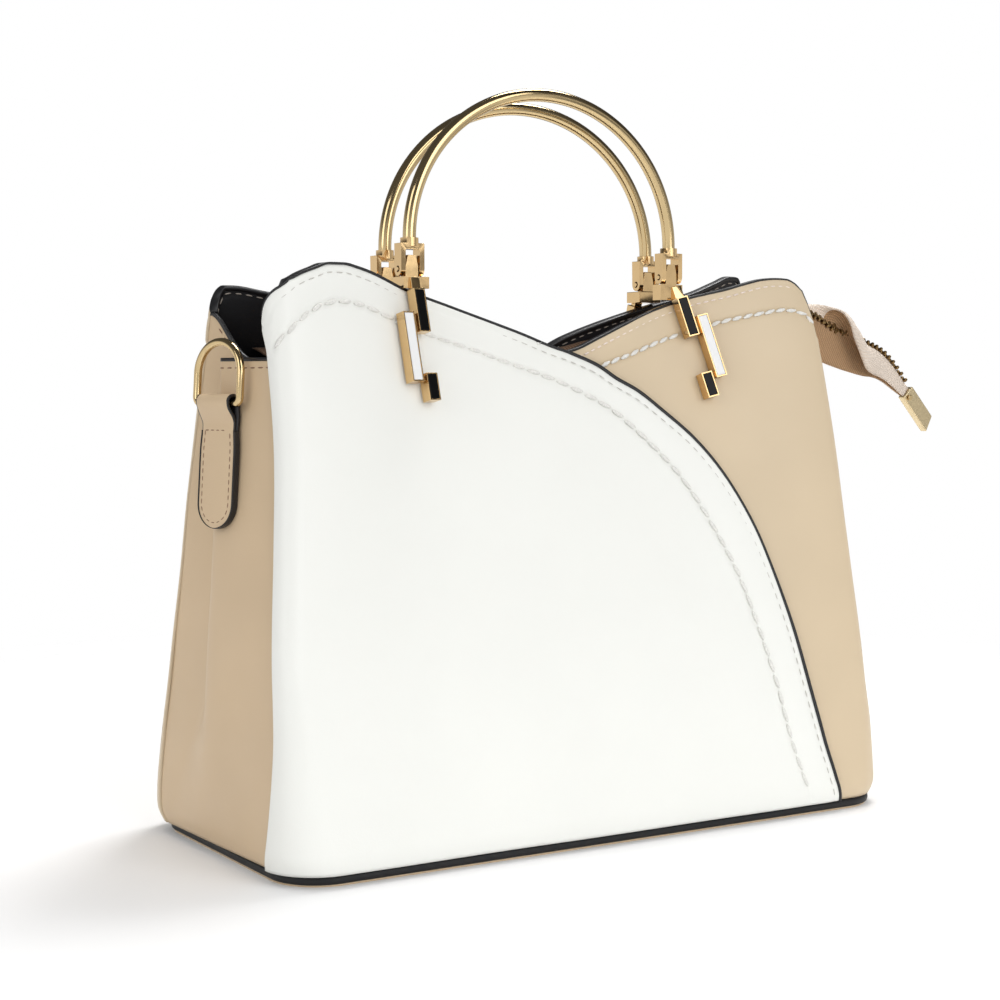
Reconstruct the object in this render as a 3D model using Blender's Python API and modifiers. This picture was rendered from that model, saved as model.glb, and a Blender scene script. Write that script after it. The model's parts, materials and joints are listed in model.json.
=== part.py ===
"""Structured handbag: two leaning panels with M-shaped tops, pleated gussets, a recessed zip
with a free tail, two hinged wire handles and a ring on a leather tab at each side.

Metres, +Z up. The origin is the centre of the base, on the surface that the bag stands on.
+X runs to the right along the front, -Y is the front.
"""
import math

import bmesh
import bpy
from mathutils import Matrix, Vector

# Clearances
SEAT_GAP = 0.0003
LAYER_GAP = 0.0005
CUT_OVERRUN = 0.002

# Body of the bag
BASE_LENGTH = 0.288
BASE_DEPTH = 0.134
BASE_CORNER_RADIUS = 0.020
BODY_HEIGHT = 0.2273
TOP_LENGTH = 0.262
TOP_END_DEPTH = 0.046
TOP_WAIST_DEPTH = 0.014
TOP_CORNER_RADIUS = 0.006
CORNER_FADE_HEIGHT = 0.090
TOP_LEAN = 0.0015
FOOT_INSET = 0.0045
FOOT_HEIGHT = 0.0120
LEATHER = 0.0014
FACING = 0.0012
LINING = 0.0006
BASE_LEATHER = 0.0008
BOARD_THICKNESS = 0.0030
BOARD_INSET = 0.0020
BASE_LEATHER_INSET = 0.0028

# Tops of the panels, from the seam at one side to the dip, as (station, share of body height).
# A station runs from -2 to -1 round the left corner, -1 to 1 along the panel and 1 to 2 round
# the right corner.
DIP_STATION_SHARE = 0.038
HIGH_LOBE_SHARES = ((-2.0, 0.841), (-1.6, 0.884), (-1.3, 0.914), (-1.12, 0.931), (-1.04, 0.940),
                    (-1.018, 0.952), (-0.99, 0.965), (-0.957, 0.977), (-0.913, 0.988), (-0.86, 0.997),
                    (-0.80, 0.9975), (-0.75, 0.993), (-0.697, 0.986), (-0.643, 0.976), (-0.57, 0.960),
                    (-0.38, 0.929), (-0.127, 0.885), (-0.018, 0.863), (0.038, 0.854))
LOW_LOBE_SHARES = ((0.038, 0.854), (0.083, 0.859), (0.19, 0.882), (0.305, 0.908), (0.418, 0.933),
                   (0.50, 0.948), (0.567, 0.959), (0.631, 0.967), (0.705, 0.976), (0.779, 0.987),
                   (0.854, 0.996), (0.904, 0.998), (0.944, 0.997), (0.976, 0.989), (1.0, 0.976),
                   (1.2, 0.950), (1.6, 0.893), (2.0, 0.841))
BACK_LEFT_SHARES = ((-2.0, 0.919), (-1.5, 0.945), (-1.2, 0.961), (-0.965, 0.967), (-0.854, 0.957),
                    (-0.709, 0.946), (-0.521, 0.930), (-0.253, 0.889), (0.038, 0.843))
BACK_RIGHT_SHARES = ((0.038, 0.843), (0.186, 0.888), (0.497, 0.943), (0.765, 0.978), (0.891, 1.000),
                     (0.961, 1.012), (1.2, 1.006), (1.5, 0.975), (2.0, 0.919))

# Overlay on the left of the front: the stations of its curved edge, from the base to the dip
OVERLAY_EDGE_SHARES = ((0.0, 0.923), (0.034, 0.890), (0.067, 0.869), (0.135, 0.831), (0.268, 0.782),
                       (0.402, 0.740), (0.537, 0.691), (0.604, 0.661), (0.672, 0.619), (0.740, 0.564),
                       (0.807, 0.487), (0.875, 0.373), (0.915, 0.295), (0.941, 0.221), (0.970, 0.153),
                       (0.996, 0.055), (1.0, 0.038))

# Swell of the corners beyond the straight taper, as (share of body height, share of base length)
SWELL_START_SHARE = 0.6
FRONT_LEFT_SWELL_SHARES = ((0.0, 0.0), (0.15, -0.0045), (0.22, -0.0059), (0.35, -0.0031), (0.53, -0.0083),
                           (0.70, -0.0132), (0.84, -0.0086), (1.0, -0.0108))
BACK_LEFT_SWELL_SHARES = ((0.0, 0.0080), (0.08, 0.0120), (0.15, 0.0100), (0.29, 0.0059), (0.44, 0.0080),
                          (0.62, 0.0132), (0.84, 0.0137), (1.0, 0.0165))
RIGHT_SWELL_SHARES = ((0.0, 0.0), (0.15, -0.0002), (0.24, -0.0034), (0.35, -0.0030), (0.53, 0.0008),
                      (0.70, 0.0048), (0.84, 0.0040), (1.0, -0.0040))

# Gussets: an outer ridge and an inner valley make one pleat
RIDGE_STAND = 0.0060
RIDGE_PLACE = 0.004
VALLEY_DEPTH = 0.0080
VALLEY_LOW_PLACE = 0.041
VALLEY_MIDDLE_PLACE = 0.0155
VALLEY_TOP_PLACE = 0.0045
PLEAT_APEX_HEIGHT = 0.061
GUSSET_BACK_RISE = 0.018
SEAM_GAP = 0.0006
BACK_SEAM_GAP = 0.0013

# Facings, lining and zip
LINING_INSET = 0.0050
LINING_PLEAT_INSET = 0.0230
ZIP_DEPTH = 0.0348
GUSSET_DROP = 0.0015
FACING_DROP = 0.0085
LINING_DROP = 0.0095
ZIP_START = -0.1160
ZIP_END = 0.1137
TAPE_THICKNESS = 0.0009
TAPE_SLOT = 0.0030
TAPE_FLAT = 0.0065
TAPE_FRONT_RISE = -0.0015
TAPE_BACK_RISE = 0.0035
TOOTH_PITCH = 0.0050
TOOTH_HEIGHT = 0.0022
SLIDER_LENGTH = 0.0100
SLIDER_WIDTH = 0.0088
SLIDER_PLATE = 0.0012
SLIDER_NECK = 0.0022
CROWN_RADIUS = 0.0032
CROWN_WIRE = 0.0014
PULL_LENGTH = 0.0260
PULL_WIDTH = 0.0070
PULL_THICKNESS = 0.0012
PULL_BAR = 0.0006
PULL_SLOT_END = 0.0042
PULL_SLOT_CLEARANCE = 0.0004

# Free tail of the zip: a tape that turns on edge and then folds in half along its teeth
TAIL_REACH = 0.0990
TAIL_WIDTH = 0.0360
TAIL_THICKNESS = 0.0011
TAIL_CREASE_SHARE = 0.45
TAIL_START_RISE = 0.0015
TAIL_RISE_SHARES = ((0.0, 0.0), (0.12, 0.095), (0.22, 0.165), (0.32, 0.200), (0.40, 0.190), (0.50, 0.142),
                    (0.60, 0.102), (0.70, 0.068), (0.80, 0.034), (0.87, -0.012), (1.0, -0.148))
TAIL_LOW_DEGREES = ((0.0, 89.0), (0.10, 108.0), (0.30, 165.0), (0.42, 176.0), (0.60, 180.0), (1.0, 186.0))
TAIL_HIGH_DEGREES = ((0.0, -89.0), (0.12, -80.0), (0.30, -66.0), (0.44, -60.0), (0.50, 0.0), (0.535, 55.0),
                     (0.59, 108.0), (0.66, 140.0), (0.75, 160.0), (1.0, 168.0))
TAIL_CURL_DEGREES = ((0.0, 0.0), (0.30, 4.0), (0.38, 30.0), (0.44, 100.0), (0.50, 225.0), (0.59, 215.0),
                     (0.66, 150.0), (0.75, 70.0), (0.88, 14.0), (1.0, 4.0))
TAIL_WIDTH_SHARES = ((0.0, 0.86), (0.30, 1.0), (0.45, 1.0), (0.60, 0.92), (0.70, 0.86), (0.80, 0.79),
                     (0.92, 0.534), (1.0, 0.327))
CAP_LENGTH = 0.0195
CAP_WIDTH = 0.0076
CAP_THICKNESS = 0.0040
CAP_SLANT = 0.0030
CAP_EDGE = 0.0012
RIVET_RADIUS = 0.0013
RIVET_HEAD = 0.0007

# Handles and their hinges
ROD_RADIUS = 0.00265
FRONT_HANDLE_SPACING = 0.1266
BACK_HANDLE_SPACING = 0.1295
HANDLE_RISE = 0.0600
FRONT_HANDLE_SHIFT = -0.0028
FRONT_HANDLE_INSET = 0.0007
FRONT_LEFT_LIFT = 0.0099
FRONT_RIGHT_LIFT = 0.0118
BACK_HANDLE_SHIFT = -0.0003
BACK_HANDLE_INSET = 0.0042
BACK_LEFT_LIFT = 0.0114
BACK_RIGHT_LIFT = 0.0096
YOKE_WIDTH = 0.0105
YOKE_DEPTH = 0.0056
YOKE_TOP = 0.0101
YOKE_BAR = 0.0024
YOKE_OPENING = 0.0063
SOCKET_WALL = 0.0007
SOCKET_HEIGHT = 0.0022
SOCKET_DEPTH = 0.0030
PIN_RADIUS = 0.0010
PIN_PROUD = 0.0004
LUG_TOP = 0.0055
LUG_TOP_WIDTH = 0.0036
LUG_DEPTH = 0.0040
FLANGE_LENGTH = 0.0115
FLANGE_REAR = 0.0034

# Enamelled bars on the panel below each front hinge
BAR_WIDTH = 0.0053
BAR_DEPTH = 0.0048
BAR_PITCH = 0.0069
BAR_DROP = 0.0065
BAR_GAP = 0.0010
FIRST_BAR_LENGTH = 0.0174
SECOND_BAR_START = 0.0094
SECOND_BAR_LENGTH = 0.0278
THIRD_BAR_START = 0.0338
THIRD_BAR_LENGTH = 0.0109
LEFT_BARS_ASIDE = 0.0018
RIGHT_BARS_ASIDE = 0.0036
RIGHT_BARS_TURN_DEGREES = 13.0
BAR_WEB_DEPTH = 0.0030
ENAMEL_RIM = 0.0005
ENAMEL_DEPTH = 0.0010
ENAMEL_CLEARANCE = 0.0001
SCREW_HEAD_RADIUS = 0.0030
SCREW_HEAD_HEIGHT = 0.0012

# Side tabs and rings
TAB_WIDTH = 0.0190
TAB_NECK_WIDTH = 0.0178
TAB_NECK_PLACE = 0.0100
TAB_LENGTH = 0.0475
TAB_LAYER = 0.0015
TAB_EYE_DROP = 0.0170
TAB_PLACE = -0.0010
TAB_STAND = 0.0009
RING_WIRE_RADIUS = 0.00155
RING_WIDTH = 0.0270
RING_HEIGHT = 0.0262
RING_CORNER_RADIUS = 0.0022
RING_CLEARANCE = 0.0004
RIGHT_RING_HANG_DEGREES = 172.0

# Fineness of the surfaces
TAIL_STEPS = 22
TAIL_HALF_STEPS = 3
CORNER_STEPS = 4
LEFT_STEPS = 12
RIGHT_STEPS = 11
PANEL_ROWS = 10
GUSSET_ROWS = 10
ROW_CROWDING = 1.5
STATION_HALVINGS = 40
ROD_STEPS = 30
RING_ARC_STEPS = 14
CIRCLE_SIDES = 16

ZIP_HEIGHT = BODY_HEIGHT - ZIP_DEPTH
GUSSET_HEIGHT = ZIP_HEIGHT - GUSSET_DROP
FACING_BOTTOM = ZIP_HEIGHT - FACING_DROP
LINING_TOP = ZIP_HEIGHT - LINING_DROP
TAB_EYE_HEIGHT = GUSSET_HEIGHT - TAB_EYE_DROP
BOARD_TOP = BASE_LEATHER + SEAT_GAP + BOARD_THICKNESS
WALL_BOTTOM = BOARD_TOP + SEAT_GAP + LEATHER / 2.0

# Colours as (red, green, blue, roughness, metallic)
BEIGE = (0.70, 0.53, 0.36, 0.45, 0.0)
GUSSET_BEIGE = (0.62, 0.45, 0.29, 0.45, 0.0)
WHITE = (0.85, 0.85, 0.82, 0.40, 0.0)
BLACK = (0.015, 0.015, 0.018, 0.45, 0.0)
CLOTH = (0.10, 0.07, 0.05, 0.80, 0.0)
TAPE = (0.55, 0.36, 0.27, 0.80, 0.0)
BRASS = (0.28, 0.19, 0.08, 0.40, 1.0)
GOLD = (0.80, 0.62, 0.32, 0.25, 1.0)
BLACK_ENAMEL = (0.01, 0.01, 0.01, 0.10, 0.0)
WHITE_ENAMEL = (0.88, 0.88, 0.88, 0.10, 0.0)


def clear_scene():
    for thing in list(bpy.data.objects):
        bpy.data.objects.remove(thing, do_unlink=True)


clear_scene()
BAG = bpy.data.collections.new("handbag")
CUTTERS = bpy.data.collections.new("cutters")
bpy.context.scene.collection.children.link(BAG)
bpy.context.scene.collection.children.link(CUTTERS)


# Helpers for objects, materials and modifiers

def material(name, look):
    found = bpy.data.materials.get(name)
    if found:
        return found
    made = bpy.data.materials.new(name)
    made.use_nodes = True
    shader = made.node_tree.nodes["Principled BSDF"]
    shader.inputs["Base Color"].default_value = (look[0], look[1], look[2], 1.0)
    shader.inputs["Roughness"].default_value = look[3]
    shader.inputs["Metallic"].default_value = look[4]
    return made


def add_object(name, data, look, place=None):
    thing = bpy.data.objects.new(name, data)
    data.materials.append(material(name + "_finish", look))
    BAG.objects.link(thing)
    if place is not None:
        thing.matrix_world = place
    return thing


def mesh_from(bm, name):
    mesh = bpy.data.meshes.new(name)
    bm.to_mesh(mesh)
    bm.free()
    return mesh


def smooth(mesh, degrees=35.0):
    mesh.shade_smooth()
    mesh.set_sharp_from_angle(angle=math.radians(degrees))


def settle(thing):
    """Turn an object with modifiers or a curve into one plain welded mesh."""
    bpy.context.view_layer.update()
    graph = bpy.context.evaluated_depsgraph_get()
    mesh = bpy.data.meshes.new_from_object(thing.evaluated_get(graph))
    bm = bmesh.new()
    bm.from_mesh(mesh)
    bmesh.ops.remove_doubles(bm, verts=bm.verts, dist=SEAT_GAP / 100.0)
    bm.to_mesh(mesh)
    bm.free()
    name = thing.name
    place = thing.matrix_world.copy()
    homes = list(thing.users_collection)
    bpy.data.objects.remove(thing, do_unlink=True)
    plain = bpy.data.objects.new(name, mesh)
    for home in homes:
        home.objects.link(plain)
    plain.matrix_world = place
    return plain


def as_cutter(thing):
    for home in list(thing.users_collection):
        home.objects.unlink(thing)
    CUTTERS.objects.link(thing)
    thing.hide_render = True
    thing.display_type = "WIRE"
    return thing


def combine(target, tool, operation):
    """Boolean another object into this one and keep the result as the object's mesh."""
    as_cutter(tool)
    change = target.modifiers.new(operation.lower(), "BOOLEAN")
    change.operation = operation
    change.object = tool
    change.solver = "EXACT"
    plain = settle(target)
    bpy.data.objects.remove(tool, do_unlink=True)
    return plain


def parent_to(child, parent):
    bpy.context.view_layer.update()
    place = child.matrix_world.copy()
    child.parent = parent
    child.matrix_parent_inverse = parent.matrix_world.inverted()
    child.matrix_world = place


def empty(name, place):
    thing = bpy.data.objects.new(name, None)
    BAG.objects.link(thing)
    thing.matrix_world = place
    bpy.context.view_layer.update()
    return thing


def box(name, low, high, look, place=None):
    """A box from its lowest to its highest corner."""
    bm = bmesh.new()
    bmesh.ops.create_cube(bm, size=1.0)
    for vert in bm.verts:
        for axis in range(3):
            vert.co[axis] = low[axis] + (vert.co[axis] + 0.5) * (high[axis] - low[axis])
    return add_object(name, mesh_from(bm, name), look, place)


def cylinder(name, radius, length, look, place, sides=CIRCLE_SIDES):
    """A cylinder centred on its place, along local Z."""
    bm = bmesh.new()
    bmesh.ops.create_cone(bm, cap_ends=True, segments=sides, radius1=radius, radius2=radius, depth=length)
    mesh = mesh_from(bm, name)
    smooth(mesh)
    return add_object(name, mesh, look, place)


def plate(name, outlines, thickness, look, place):
    """A flat outline, with any holes, in local XY and centred on its thickness."""
    curve = bpy.data.curves.new(name, "CURVE")
    curve.dimensions = "2D"
    curve.fill_mode = "BOTH"
    curve.extrude = thickness / 2.0
    for outline in outlines:
        spline = curve.splines.new("POLY")
        spline.points.add(len(outline) - 1)
        for point, (x, y) in zip(spline.points, outline):
            point.co = (x, y, 0.0, 1.0)
        spline.use_cyclic_u = True
    return settle(add_object(name, curve, look, place))


def tube(name, path, radius, look, place=None, closed=False, resolution=2):
    """A round wire along a list of points."""
    curve = bpy.data.curves.new(name, "CURVE")
    curve.dimensions = "3D"
    curve.bevel_depth = radius
    curve.bevel_resolution = resolution
    curve.use_fill_caps = True
    spline = curve.splines.new("POLY")
    spline.points.add(len(path) - 1)
    for point, co in zip(spline.points, path):
        point.co = (co[0], co[1], co[2], 1.0)
    spline.use_cyclic_u = closed
    thing = add_object(name, curve, look, place)
    return thing


def sheet(name, surface, columns, rows, thickness, look, flip=False):
    """A flexible sheet: a grid laid on a surface and thickened inwards."""
    bm = bmesh.new()
    bmesh.ops.create_grid(bm, x_segments=columns, y_segments=rows, size=1.0)
    for vert in bm.verts:
        column = round((vert.co.x + 1.0) / 2.0 * columns)
        row = round((vert.co.y + 1.0) / 2.0 * rows)
        vert.co = surface(column, row)
    if flip:
        bmesh.ops.reverse_faces(bm, faces=bm.faces)
    mesh = mesh_from(bm, name)
    smooth(mesh)
    thing = add_object(name, mesh, look)
    shell = thing.modifiers.new("thickness", "SOLIDIFY")
    shell.thickness = thickness
    shell.offset = -1.0
    shell.use_even_offset = True
    return thing


def arc(centre, radius, start, stop, steps):
    """Points on an arc, in degrees."""
    points = []
    for step in range(steps + 1):
        angle = math.radians(start + (stop - start) * step / steps)
        points.append((centre[0] + radius * math.cos(angle), centre[1] + radius * math.sin(angle)))
    return points


def rounded_rectangle(half_x, half_y, radius, steps):
    points = []
    for turn, (sx, sy) in enumerate(((1, 1), (-1, 1), (-1, -1), (1, -1))):
        centre = (sx * (half_x - radius), sy * (half_y - radius))
        points += arc(centre, radius, 90.0 * turn, 90.0 * turn + 90.0, steps)
    return points


def mix(low, high, share):
    return low + (high - low) * share


def ease(share):
    share = min(max(share, 0.0), 1.0)
    return share * share * (3.0 - 2.0 * share)


def read_table(table, at):
    """Smooth reading of a table of pairs, with no overshoot between them."""
    last = len(table) - 1
    if at <= table[0][0]:
        return table[0][1]
    if at >= table[last][0]:
        return table[last][1]
    slopes = []
    for index in range(last):
        slopes.append((table[index + 1][1] - table[index][1]) / (table[index + 1][0] - table[index][0]))
    bends = [slopes[0]]
    for index in range(1, last):
        before, after = slopes[index - 1], slopes[index]
        bends.append(0.0 if before * after <= 0.0 else 2.0 * before * after / (before + after))
    bends.append(slopes[-1])
    index = 0
    while at > table[index + 1][0]:
        index += 1
    span = table[index + 1][0] - table[index][0]
    t = (at - table[index][0]) / span
    return ((1 + 2 * t) * (1 - t) ** 2 * table[index][1] + t * (1 - t) ** 2 * span * bends[index]
            + t * t * (3 - 2 * t) * table[index + 1][1] + t * t * (t - 1) * span * bends[index + 1])


# Shape of the body at a height

def foot_inset(z):
    """The walls curve in to the board just above it."""
    drop = max(0.0, 1.0 - z / FOOT_HEIGHT)
    return FOOT_INSET * drop * drop


def half_length(z):
    return mix(BASE_LENGTH / 2.0, TOP_LENGTH / 2.0, z / BODY_HEIGHT) - foot_inset(z)


def lean(z):
    return TOP_LEAN * z / BODY_HEIGHT


def corner_radius(z):
    fade = max(0.0, 1.0 - z / CORNER_FADE_HEIGHT)
    return mix(TOP_CORNER_RADIUS, BASE_CORNER_RADIUS, fade * fade)


def end_half_depth(z):
    return mix(BASE_DEPTH / 2.0, TOP_END_DEPTH / 2.0, z / BODY_HEIGHT) - foot_inset(z)


def waist_half_depth(z):
    return mix(BASE_DEPTH / 2.0, TOP_WAIST_DEPTH / 2.0, z / BODY_HEIGHT) - foot_inset(z)


def pinch(share):
    across = min(abs(share), 1.0)
    return 1.0 - 5.0 * across ** 4 + 4.0 * across ** 5


def panel_half_depth(station, z):
    return mix(end_half_depth(z), waist_half_depth(z), pinch(station))


def corner_swell(hand, z, side):
    """How far a corner stands outside the straight taper; hand is -1 for left and 1 for right."""
    if hand > 0:
        table = RIGHT_SWELL_SHARES
    elif side < 0:
        table = FRONT_LEFT_SWELL_SHARES
    else:
        table = BACK_LEFT_SWELL_SHARES
    return BASE_LENGTH * read_table(table, z / BODY_HEIGHT)


def panel_point(station, z, offset, side):
    """A point of a panel: side is -1 for the front and 1 for the back, offset is outwards."""
    radius = corner_radius(z)
    flat = half_length(z) - radius
    hand = 1 if station > 0.0 else -1
    fade = ease((abs(station) - SWELL_START_SHARE) / (1.0 - SWELL_START_SHARE))
    middle = lean(z) + hand * fade * corner_swell(hand, z, side)
    if abs(station) <= 1.0:
        return Vector((middle + station * flat, side * (panel_half_depth(station, z) + offset), z))
    angle = math.radians(90.0 * (min(abs(station), 2.0) - 1.0))
    across = flat + (radius + offset) * math.sin(angle)
    depth = end_half_depth(z) - radius + (radius + offset) * math.cos(angle)
    return Vector((middle + hand * across, side * depth, z))


def station_at(x, z, side):
    """The station of a panel at a place along it, found by halving."""
    low = -1.5
    high = 1.5
    for _ in range(STATION_HALVINGS):
        middle = (low + high) / 2.0
        if panel_point(middle, z, 0.0, side).x < x:
            low = middle
        else:
            high = middle
    return (low + high) / 2.0


def front_top(station):
    table = HIGH_LOBE_SHARES if station < DIP_STATION_SHARE else LOW_LOBE_SHARES
    return BODY_HEIGHT * read_table(table, station)


def back_top(station):
    table = BACK_LEFT_SHARES if station < DIP_STATION_SHARE else BACK_RIGHT_SHARES
    return BODY_HEIGHT * read_table(table, station)


def panel_stations(margin=0.0):
    """Stations of a panel's columns, closer together round the corners."""
    stations = []
    for step in range(CORNER_STEPS):
        stations.append(mix(-2.0 + margin, -1.0, step / CORNER_STEPS))
    for step in range(LEFT_STEPS):
        stations.append(mix(-1.0, DIP_STATION_SHARE, step / LEFT_STEPS))
    for step in range(RIGHT_STEPS):
        stations.append(mix(DIP_STATION_SHARE, 1.0, step / RIGHT_STEPS))
    for step in range(CORNER_STEPS + 1):
        stations.append(mix(1.0, 2.0 - margin, step / CORNER_STEPS))
    return stations


def row_share(row, rows):
    """Rows lie closer together near the base, where the corners open."""
    return (row / rows) ** ROW_CROWDING


# Base

def make_base():
    half_x = BASE_LENGTH / 2.0
    half_y = BASE_DEPTH / 2.0
    outline = rounded_rectangle(half_x - BOARD_INSET, half_y - BOARD_INSET, BASE_CORNER_RADIUS, 6)
    inner = rounded_rectangle(half_x - BASE_LEATHER_INSET, half_y - BASE_LEATHER_INSET,
                              BASE_CORNER_RADIUS, 6)
    leather_place = Matrix.Translation((0.0, 0.0, BASE_LEATHER / 2.0))
    plate("base_leather", [inner], BASE_LEATHER, BEIGE, leather_place)
    board_place = Matrix.Translation((0.0, 0.0, BASE_LEATHER + SEAT_GAP + BOARD_THICKNESS / 2.0))
    plate("base_board", [outline], BOARD_THICKNESS, BLACK, board_place)


# Panels

def make_panel(name, side, top, look):
    stations = panel_stations()

    def surface(column, row):
        station = stations[column]
        z = mix(WALL_BOTTOM, top(station), row_share(row, PANEL_ROWS))
        return panel_point(station, z, 0.0, side)

    sheet(name, surface, len(stations) - 1, PANEL_ROWS, LEATHER, look, flip=side > 0)


def make_overlay():
    columns = CORNER_STEPS + LEFT_STEPS + RIGHT_STEPS // 2
    dip_height = front_top(DIP_STATION_SHARE)

    def surface(column, row):
        top_share = column / columns
        top_station = mix(-2.0, DIP_STATION_SHARE, top_share)
        share = row_share(row, PANEL_ROWS)
        edge_station = read_table(OVERLAY_EDGE_SHARES, share)
        station = mix(-2.0, edge_station, top_share)
        edge_top = dip_height if column == columns else front_top(top_station)
        return panel_point(station, mix(WALL_BOTTOM, edge_top, share), LAYER_GAP + LEATHER, -1)

    sheet("front_overlay", surface, columns, PANEL_ROWS, LEATHER, WHITE)


def make_facing(name, side, top):
    stations = panel_stations(margin=0.45)
    rows = 3

    def surface(column, row):
        station = stations[column]
        upper = min(top(station), top(station * 0.999))
        z = mix(FACING_BOTTOM, upper, row / rows)
        return panel_point(station, z, -(LEATHER + LAYER_GAP), side)

    sheet(name, surface, len(stations) - 1, rows, FACING, BLACK, flip=side > 0)


# Gussets

def gusset_profile(z, side):
    """Front seam, ridge, valley and back seam of a gusset at a height, in plan."""
    share = min(z / GUSSET_HEIGHT, 1.0)
    front_wall = half_length(z) + corner_swell(side, z, -1)
    back_wall = half_length(z) + corner_swell(side, z, 1)
    seam = end_half_depth(z) - corner_radius(z)
    front_seam = seam - SEAM_GAP
    back_seam = seam - BACK_SEAM_GAP
    if z < PLEAT_APEX_HEIGHT:
        valley_place = mix(VALLEY_LOW_PLACE, VALLEY_MIDDLE_PLACE, z / PLEAT_APEX_HEIGHT)
    else:
        climb = (z - PLEAT_APEX_HEIGHT) / (GUSSET_HEIGHT - PLEAT_APEX_HEIGHT)
        valley_place = mix(VALLEY_MIDDLE_PLACE, VALLEY_TOP_PLACE, min(climb, 1.0))
    ridge_wall = mix(front_wall, back_wall, (RIDGE_PLACE + front_seam) / (back_seam + front_seam))
    valley_wall = mix(front_wall, back_wall, (valley_place + front_seam) / (back_seam + front_seam))
    ridge = ridge_wall + RIDGE_STAND * ease(share / 0.35)
    valley = valley_wall - VALLEY_DEPTH * share ** 1.3
    outline = ((front_wall, -front_seam), (mix(front_wall, ridge, 0.5), mix(-front_seam, RIDGE_PLACE, 0.5)),
               (ridge, RIDGE_PLACE), (valley, valley_place),
               (mix(valley, back_wall, 0.5), mix(valley_place, back_seam, 0.5)), (back_wall, back_seam))
    return [(lean(z) + side * across, depth) for across, depth in outline]


def make_gusset(name, side):
    columns = 5
    back_rise_shares = (0.0, 0.0, 0.0, 0.0, 0.5, 1.0)

    def surface(column, row):
        at = columns - column if side < 0 else column
        upper = GUSSET_HEIGHT + GUSSET_BACK_RISE * back_rise_shares[at]
        z = mix(WALL_BOTTOM, upper, row_share(row, GUSSET_ROWS))
        across, depth = gusset_profile(z, side)[at]
        return Vector((across, depth, z))

    sheet(name, surface, columns, GUSSET_ROWS, LEATHER, GUSSET_BEIGE)


# Lining: an open bag that hangs inside the walls and rests on the board

def make_lining():
    corner_steps = 4
    levels = 6
    bm = bmesh.new()
    rings = []
    for level in range(levels + 1):
        z = mix(BOARD_TOP + SEAT_GAP, LINING_TOP, level / levels)
        inset = mix(LINING_INSET, LINING_PLEAT_INSET, ease(z / LINING_TOP))
        half_x = half_length(z) - inset
        half_y = waist_half_depth(z) - LINING_INSET
        radius = min(BASE_CORNER_RADIUS, half_y) * 0.75
        outline = rounded_rectangle(half_x, half_y, radius, corner_steps)
        rings.append([bm.verts.new((lean(z) + x, y, z)) for x, y in outline])
    count = len(rings[0])
    for lower, upper in zip(rings, rings[1:]):
        for index in range(count):
            after = (index + 1) % count
            bm.faces.new((lower[index], lower[after], upper[after], upper[index]))
    bm.faces.new(list(reversed(rings[0])))
    mesh = mesh_from(bm, "lining")
    smooth(mesh)
    thing = add_object("lining", mesh, CLOTH)
    shell = thing.modifiers.new("thickness", "SOLIDIFY")
    shell.thickness = LINING
    shell.offset = -1.0
    shell.use_even_offset = True


# Zip

def make_zip_tape(name, side, rise):
    """One half of the zip: flat beside the teeth, then sloping to the facing."""
    columns = 12
    cloth_offset = LEATHER + LAYER_GAP + FACING + TAPE_THICKNESS

    def surface(column, row):
        x = mix(ZIP_START, ZIP_END, column / columns)
        edge_height = ZIP_HEIGHT + rise
        limit = panel_half_depth(station_at(x, edge_height, side), edge_height) - cloth_offset
        across = (TAPE_SLOT / 2.0, TAPE_FLAT, limit)[row]
        z = ZIP_HEIGHT + (rise if row == 2 else 0.0)
        return Vector((x, side * across, z))

    sheet(name, surface, columns, 2, TAPE_THICKNESS, TAPE, flip=side < 0)


def make_teeth():
    """The two rows of teeth, meshed: one chain with a notch between each pair of teeth."""
    count = int((ZIP_END - ZIP_START - SLIDER_LENGTH) / TOOTH_PITCH)
    first = ZIP_START + SLIDER_LENGTH
    tooth = TOOTH_PITCH / 2.0
    reach = TAPE_SLOT / 2.0 - SEAT_GAP
    root = reach * 0.55
    front_edge = []
    back_edge = []
    for index in range(count):
        x = first + TOOTH_PITCH * index
        after = x + tooth
        front_edge += [(x, -root), (x, -reach), (after, -reach), (after, -root)]
        back_edge += [(after, root), (after, reach), (after + tooth, reach), (after + tooth, root)]
    middle = ZIP_HEIGHT - TAPE_THICKNESS / 2.0
    outline = front_edge + list(reversed(back_edge))
    plate("zip_teeth", [outline], TOOTH_HEIGHT, BRASS, Matrix.Translation((0.0, 0.0, middle)))


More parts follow.
